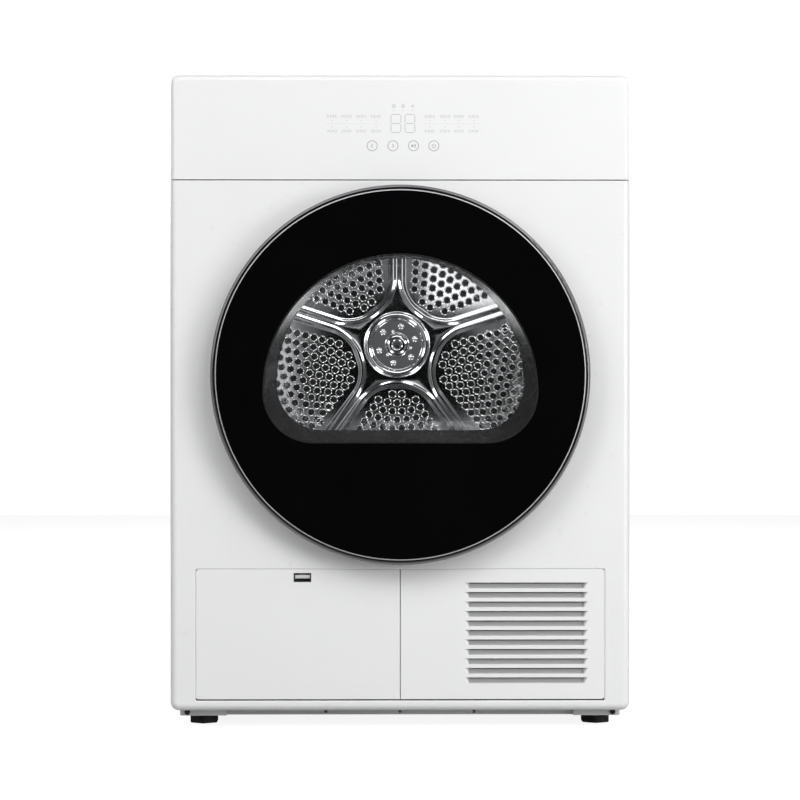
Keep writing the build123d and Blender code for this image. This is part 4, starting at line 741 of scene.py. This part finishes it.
def touch_keys():
    """Four ringed keys: two chevrons, play and pause, and power."""
    ink = Ink()
    z = KEY_Z
    for x in KEY_XS:
        ink.arc(x, z, 6.5, 0.75)
    for x, side in ((KEY_XS[0], -1), (KEY_XS[1], 1)):
        ink.stroke((x - side * 1.0, z + 2.4), (x + side * 1.2, z), 0.7)
        ink.stroke((x + side * 1.2, z), (x - side * 1.0, z - 2.4), 0.7)
    x = KEY_XS[2]
    ink.polygon([(x - 2.6, z - 2.1), (x + 0.6, z), (x - 2.6, z + 2.1)])
    ink.bar(x + 1.1, x + 1.7, z - 2.1, z + 2.1)
    ink.bar(x + 2.3, x + 2.9, z - 2.1, z + 2.1)
    x = KEY_XS[3]
    ink.arc(x, z - 0.1, 2.3, 0.6, 125, 415)
    ink.stroke((x, z + 0.2), (x, z + 2.8), 0.6)
    ink.make("touch_key_prints", "print_grey")


def display_digits():
    """Two seven-segment digits and the three small signs above them."""
    ink = Ink()
    for x0, x1 in ((-12.0, 0.8), (6.2, 18.9)):
        low, high = DIGITS_LOW, DIGITS_HIGH
        middle = (low + high) / 2
        for z in (low, middle, high):
            ink.bar(x0 + 1.0, x1 - 1.0, z - 0.45, z + 0.45)
        for x in (x0, x1):
            ink.bar(x - 0.45, x + 0.45, low + 0.9, middle - 0.9)
            ink.bar(x - 0.45, x + 0.45, middle + 0.9, high - 0.9)
    top = SIGNS_Z
    ink.arc(-8.3, top, 2.1, 0.6, steps=24)
    for x in (-9.6, -8.3, -7.0):
        ink.bar(x - 0.25, x + 0.25, top - 0.8, top + 0.8)
    ink.bar(1.8, 5.6, top - 1.9, top - 1.3)
    ink.bar(1.8, 5.6, top + 1.3, top + 1.9)
    for x in (2.3, 3.7, 5.1):
        ink.bar(x - 0.3, x + 0.3, top - 1.3, top + 1.3)
    for k in range(3):
        turn = math.radians(60 * k)
        dx, dz = 2.2 * math.cos(turn), 2.2 * math.sin(turn)
        ink.stroke((16.0 - dx, top - dz), (16.0 + dx, top + dz), 0.5)
    for x in (-8.3, 3.7, 16.0):
        ink.arc(x, SIGN_DOTS_Z, 0.35, 0.6, steps=12)
    ink.make("display_prints", "print_pale")


def programme_marks():
    """Plain marks in place of words: groups of short strokes, with a lamp dot for each."""
    ink = Ink()
    for side, group in enumerate(MARK_COLUMNS):
        for number, x in enumerate(group):
            for row, z in enumerate(MARK_ROWS):
                for k in range(4):
                    left = x - 6.6 + 3.4 * k
                    tall = 1.5 - 0.35 * ((number + k + row) % 2)
                    ink.bar(left, left + 2.5, z + tall - 0.5, z + tall)
                    ink.bar(left, left + 2.5, z - tall, z - tall + 0.5)
                    spot = left + (0.3, 1.0, 1.7)[(k + number + 2 * row + side) % 3]
                    ink.bar(spot, spot + 0.5, z - tall, z + tall)
            for z in MARK_DOTS:
                ink.arc(x, z, 0.3, 0.55, steps=10)
    for x0, x1 in DASH_LINES:
        dash = 2.4  # from the start of one dash to the next
        x = x0
        while x < x1:
            ink.bar(x, min(x + dash * 0.6, x1), DASH_LOW, DASH_HIGH)
            x += dash
    ink.make("programme_prints", "print_pale")


touch_keys()
display_digits()
programme_marks()


# ---------------------------------------------------------------- floor, light and camera
def studio():
    """Plain pale floor, luminous like a lit table, so that it meets the white room without an edge."""
    side, front, back = 5.0, -2.3, 5.0
    corners = [(-side, front, 0), (side, front, 0), (side, back, 0), (-side, back, 0)]
    mesh = bpy.data.meshes.new("studio_floor")
    mesh.from_pydata(corners, [], [(0, 1, 2, 3)])
    floor = bpy.data.objects.new("studio_floor", mesh)
    bpy.context.scene.collection.objects.link(floor)
    paper = Shader("studio_paper")
    paper.drive(Roughness=paper.spread(paper.noise(5.0), 0.85, 0.95))
    path = paper.node("ShaderNodeLightPath")
    seen = path.outputs["Is Camera Ray"]
    paper.drive(Base_Color=paper.colours(seen, (0.45, 0.45, 0.45), (0.27, 0.27, 0.27)))
    paper.drive(Emission_Strength=paper.spread(seen, 0.0, 0.89, 0.0, 1.0))
    paper.set(Emission_Color=(1, 1, 1, 1), Specular_IOR_Level=0.0)
    mesh.materials.append(paper.material)


def area_light(name, place, target, size, power):
    """Rectangular lamp that faces its target."""
    light = bpy.data.lights.new(name, "AREA")
    light.shape = "RECTANGLE"
    light.size, light.size_y = size
    light.energy = power
    lamp = bpy.data.objects.new(name, light)
    bpy.context.scene.collection.objects.link(lamp)
    lamp.location = place
    lamp.rotation_euler = (Vector(target) - Vector(place)).to_track_quat("-Z", "Y").to_euler()
    return lamp


ROOM_STRENGTH = 0.12
SEEN_STRENGTH = 1.02  # what the camera itself sees of the room
# name, place and size in metres, power in watts, for the lights in front and behind
FRONT_LIGHTS = (
    ("key", (1.7, -2.6, 2.5), (2.4, 2.4), 74.0),
    ("high_left", (-0.8, -2.4, 2.8), (2.0, 1.6), 27.0),
    ("fill_left", (-2.2, -2.4, 1.7), (1.6, 2.2), 33.0),
    ("low_right", (2.3, -2.2, 0.6), (1.2, 1.0), 28.0),
)
REAR_LIGHTS = (
    ("rear_right", (2.4, 2.6, 2.0), (2.0, 2.0), 60.0),
    ("rear_left", (-2.4, 2.6, 1.8), (2.0, 2.0), 50.0),
)
# sideways place, height above the drum's middle, size and power
DRUM_LAMPS = (
    (0.135, 0.15, (0.17, 0.16), 0.11),
    (-0.215, -0.05, (0.09, 0.2), 0.035),
)
DRUM_LAMP_Y = -0.12
FRONT_AIM, REAR_AIM = (0, -0.28, 0.45), (0, 0.3, 0.45)
PANEL_Y, PANEL_RADIUS, PANEL_SIZE, PANEL_POWER = 0.07, 0.2, (0.24, 0.055), 0.19
CAMERA_LENS = 111.4
CAMERA_PLACE = (-0.030, FASCIA_Y - 3.2, 0.444)
CAMERA_AIM = (-0.0003, FASCIA_Y, 0.4252)


def room_light():
    """White room, dark in front of the machine so that its black glass stays black."""
    world = bpy.data.worlds.new("studio_world")
    bpy.context.scene.world = world
    world.use_nodes = True
    tree = world.node_tree
    background = tree.nodes["Background"]
    background.inputs["Color"].default_value = (1, 1, 1, 1)
    place = tree.nodes.new("ShaderNodeTexCoord")

    facing = tree.nodes.new("ShaderNodeVectorMath")
    facing.operation = "DOT_PRODUCT"
    facing.inputs[1].default_value = (0, -1, 0)
    tree.links.new(place.outputs["Generated"], facing.inputs[0])
    ramp = tree.nodes.new("ShaderNodeMapRange")
    ramp.interpolation_type = "SMOOTHSTEP"
    ramp.inputs["From Min"].default_value = 0.5
    ramp.inputs["From Max"].default_value = 0.95
    ramp.inputs["To Min"].default_value = ROOM_STRENGTH
    ramp.inputs["To Max"].default_value = ROOM_STRENGTH * 0.02
    tree.links.new(facing.outputs["Value"], ramp.inputs["Value"])
    path = tree.nodes.new("ShaderNodeLightPath")
    seen = tree.nodes.new("ShaderNodeMix")
    seen.inputs[3].default_value = SEEN_STRENGTH
    tree.links.new(path.outputs["Is Camera Ray"], seen.inputs[0])
    tree.links.new(ramp.outputs["Result"], seen.inputs[2])
    tree.links.new(seen.outputs[0], background.inputs["Strength"])


def drum_lamps():
    """Two soft lamps that the drum's back mirrors, and panels along its wall that light the beads."""
    for number, (x, above, size, power) in enumerate(DRUM_LAMPS):
        height = DRUM_Z + above
        area_light(f"drum_lamp_{number}", (x, DRUM_LAMP_Y, height), (x, DRUM_BACK_Y, height), size, power)
    axis = (0, PANEL_Y, DRUM_Z)
    for number in range(5):
        turn = math.radians(18 + 72 * number)
        x, z = PANEL_RADIUS * math.cos(turn), DRUM_Z + PANEL_RADIUS * math.sin(turn)
        panel = area_light(f"drum_panel_{number}", (x, PANEL_Y, z), axis, PANEL_SIZE, PANEL_POWER)
        panel.visible_camera = False


def lights():
    """All lights, and a plain view transform so that white stays white."""
    room_light()
    for name, place, size, power in FRONT_LIGHTS:
        area_light(name, place, FRONT_AIM, size, power)
    for name, place, size, power in REAR_LIGHTS:
        area_light(name, place, REAR_AIM, size, power)
    drum_lamps()
    bpy.context.scene.view_settings.view_transform = "Standard"


def camera():
    """Long lens, straight ahead of the machine and slightly to its left."""
    lens = bpy.data.cameras.new("camera")
    lens.lens = CAMERA_LENS
    lens.sensor_width = 36.0
    eye = bpy.data.objects.new("camera", lens)
    bpy.context.scene.collection.objects.link(eye)
    eye.location = CAMERA_PLACE
    eye.rotation_euler = (Vector(CAMERA_AIM) - eye.location).to_track_quat("-Z", "Y").to_euler()
    bpy.context.scene.camera = eye


studio()
lights()
camera()
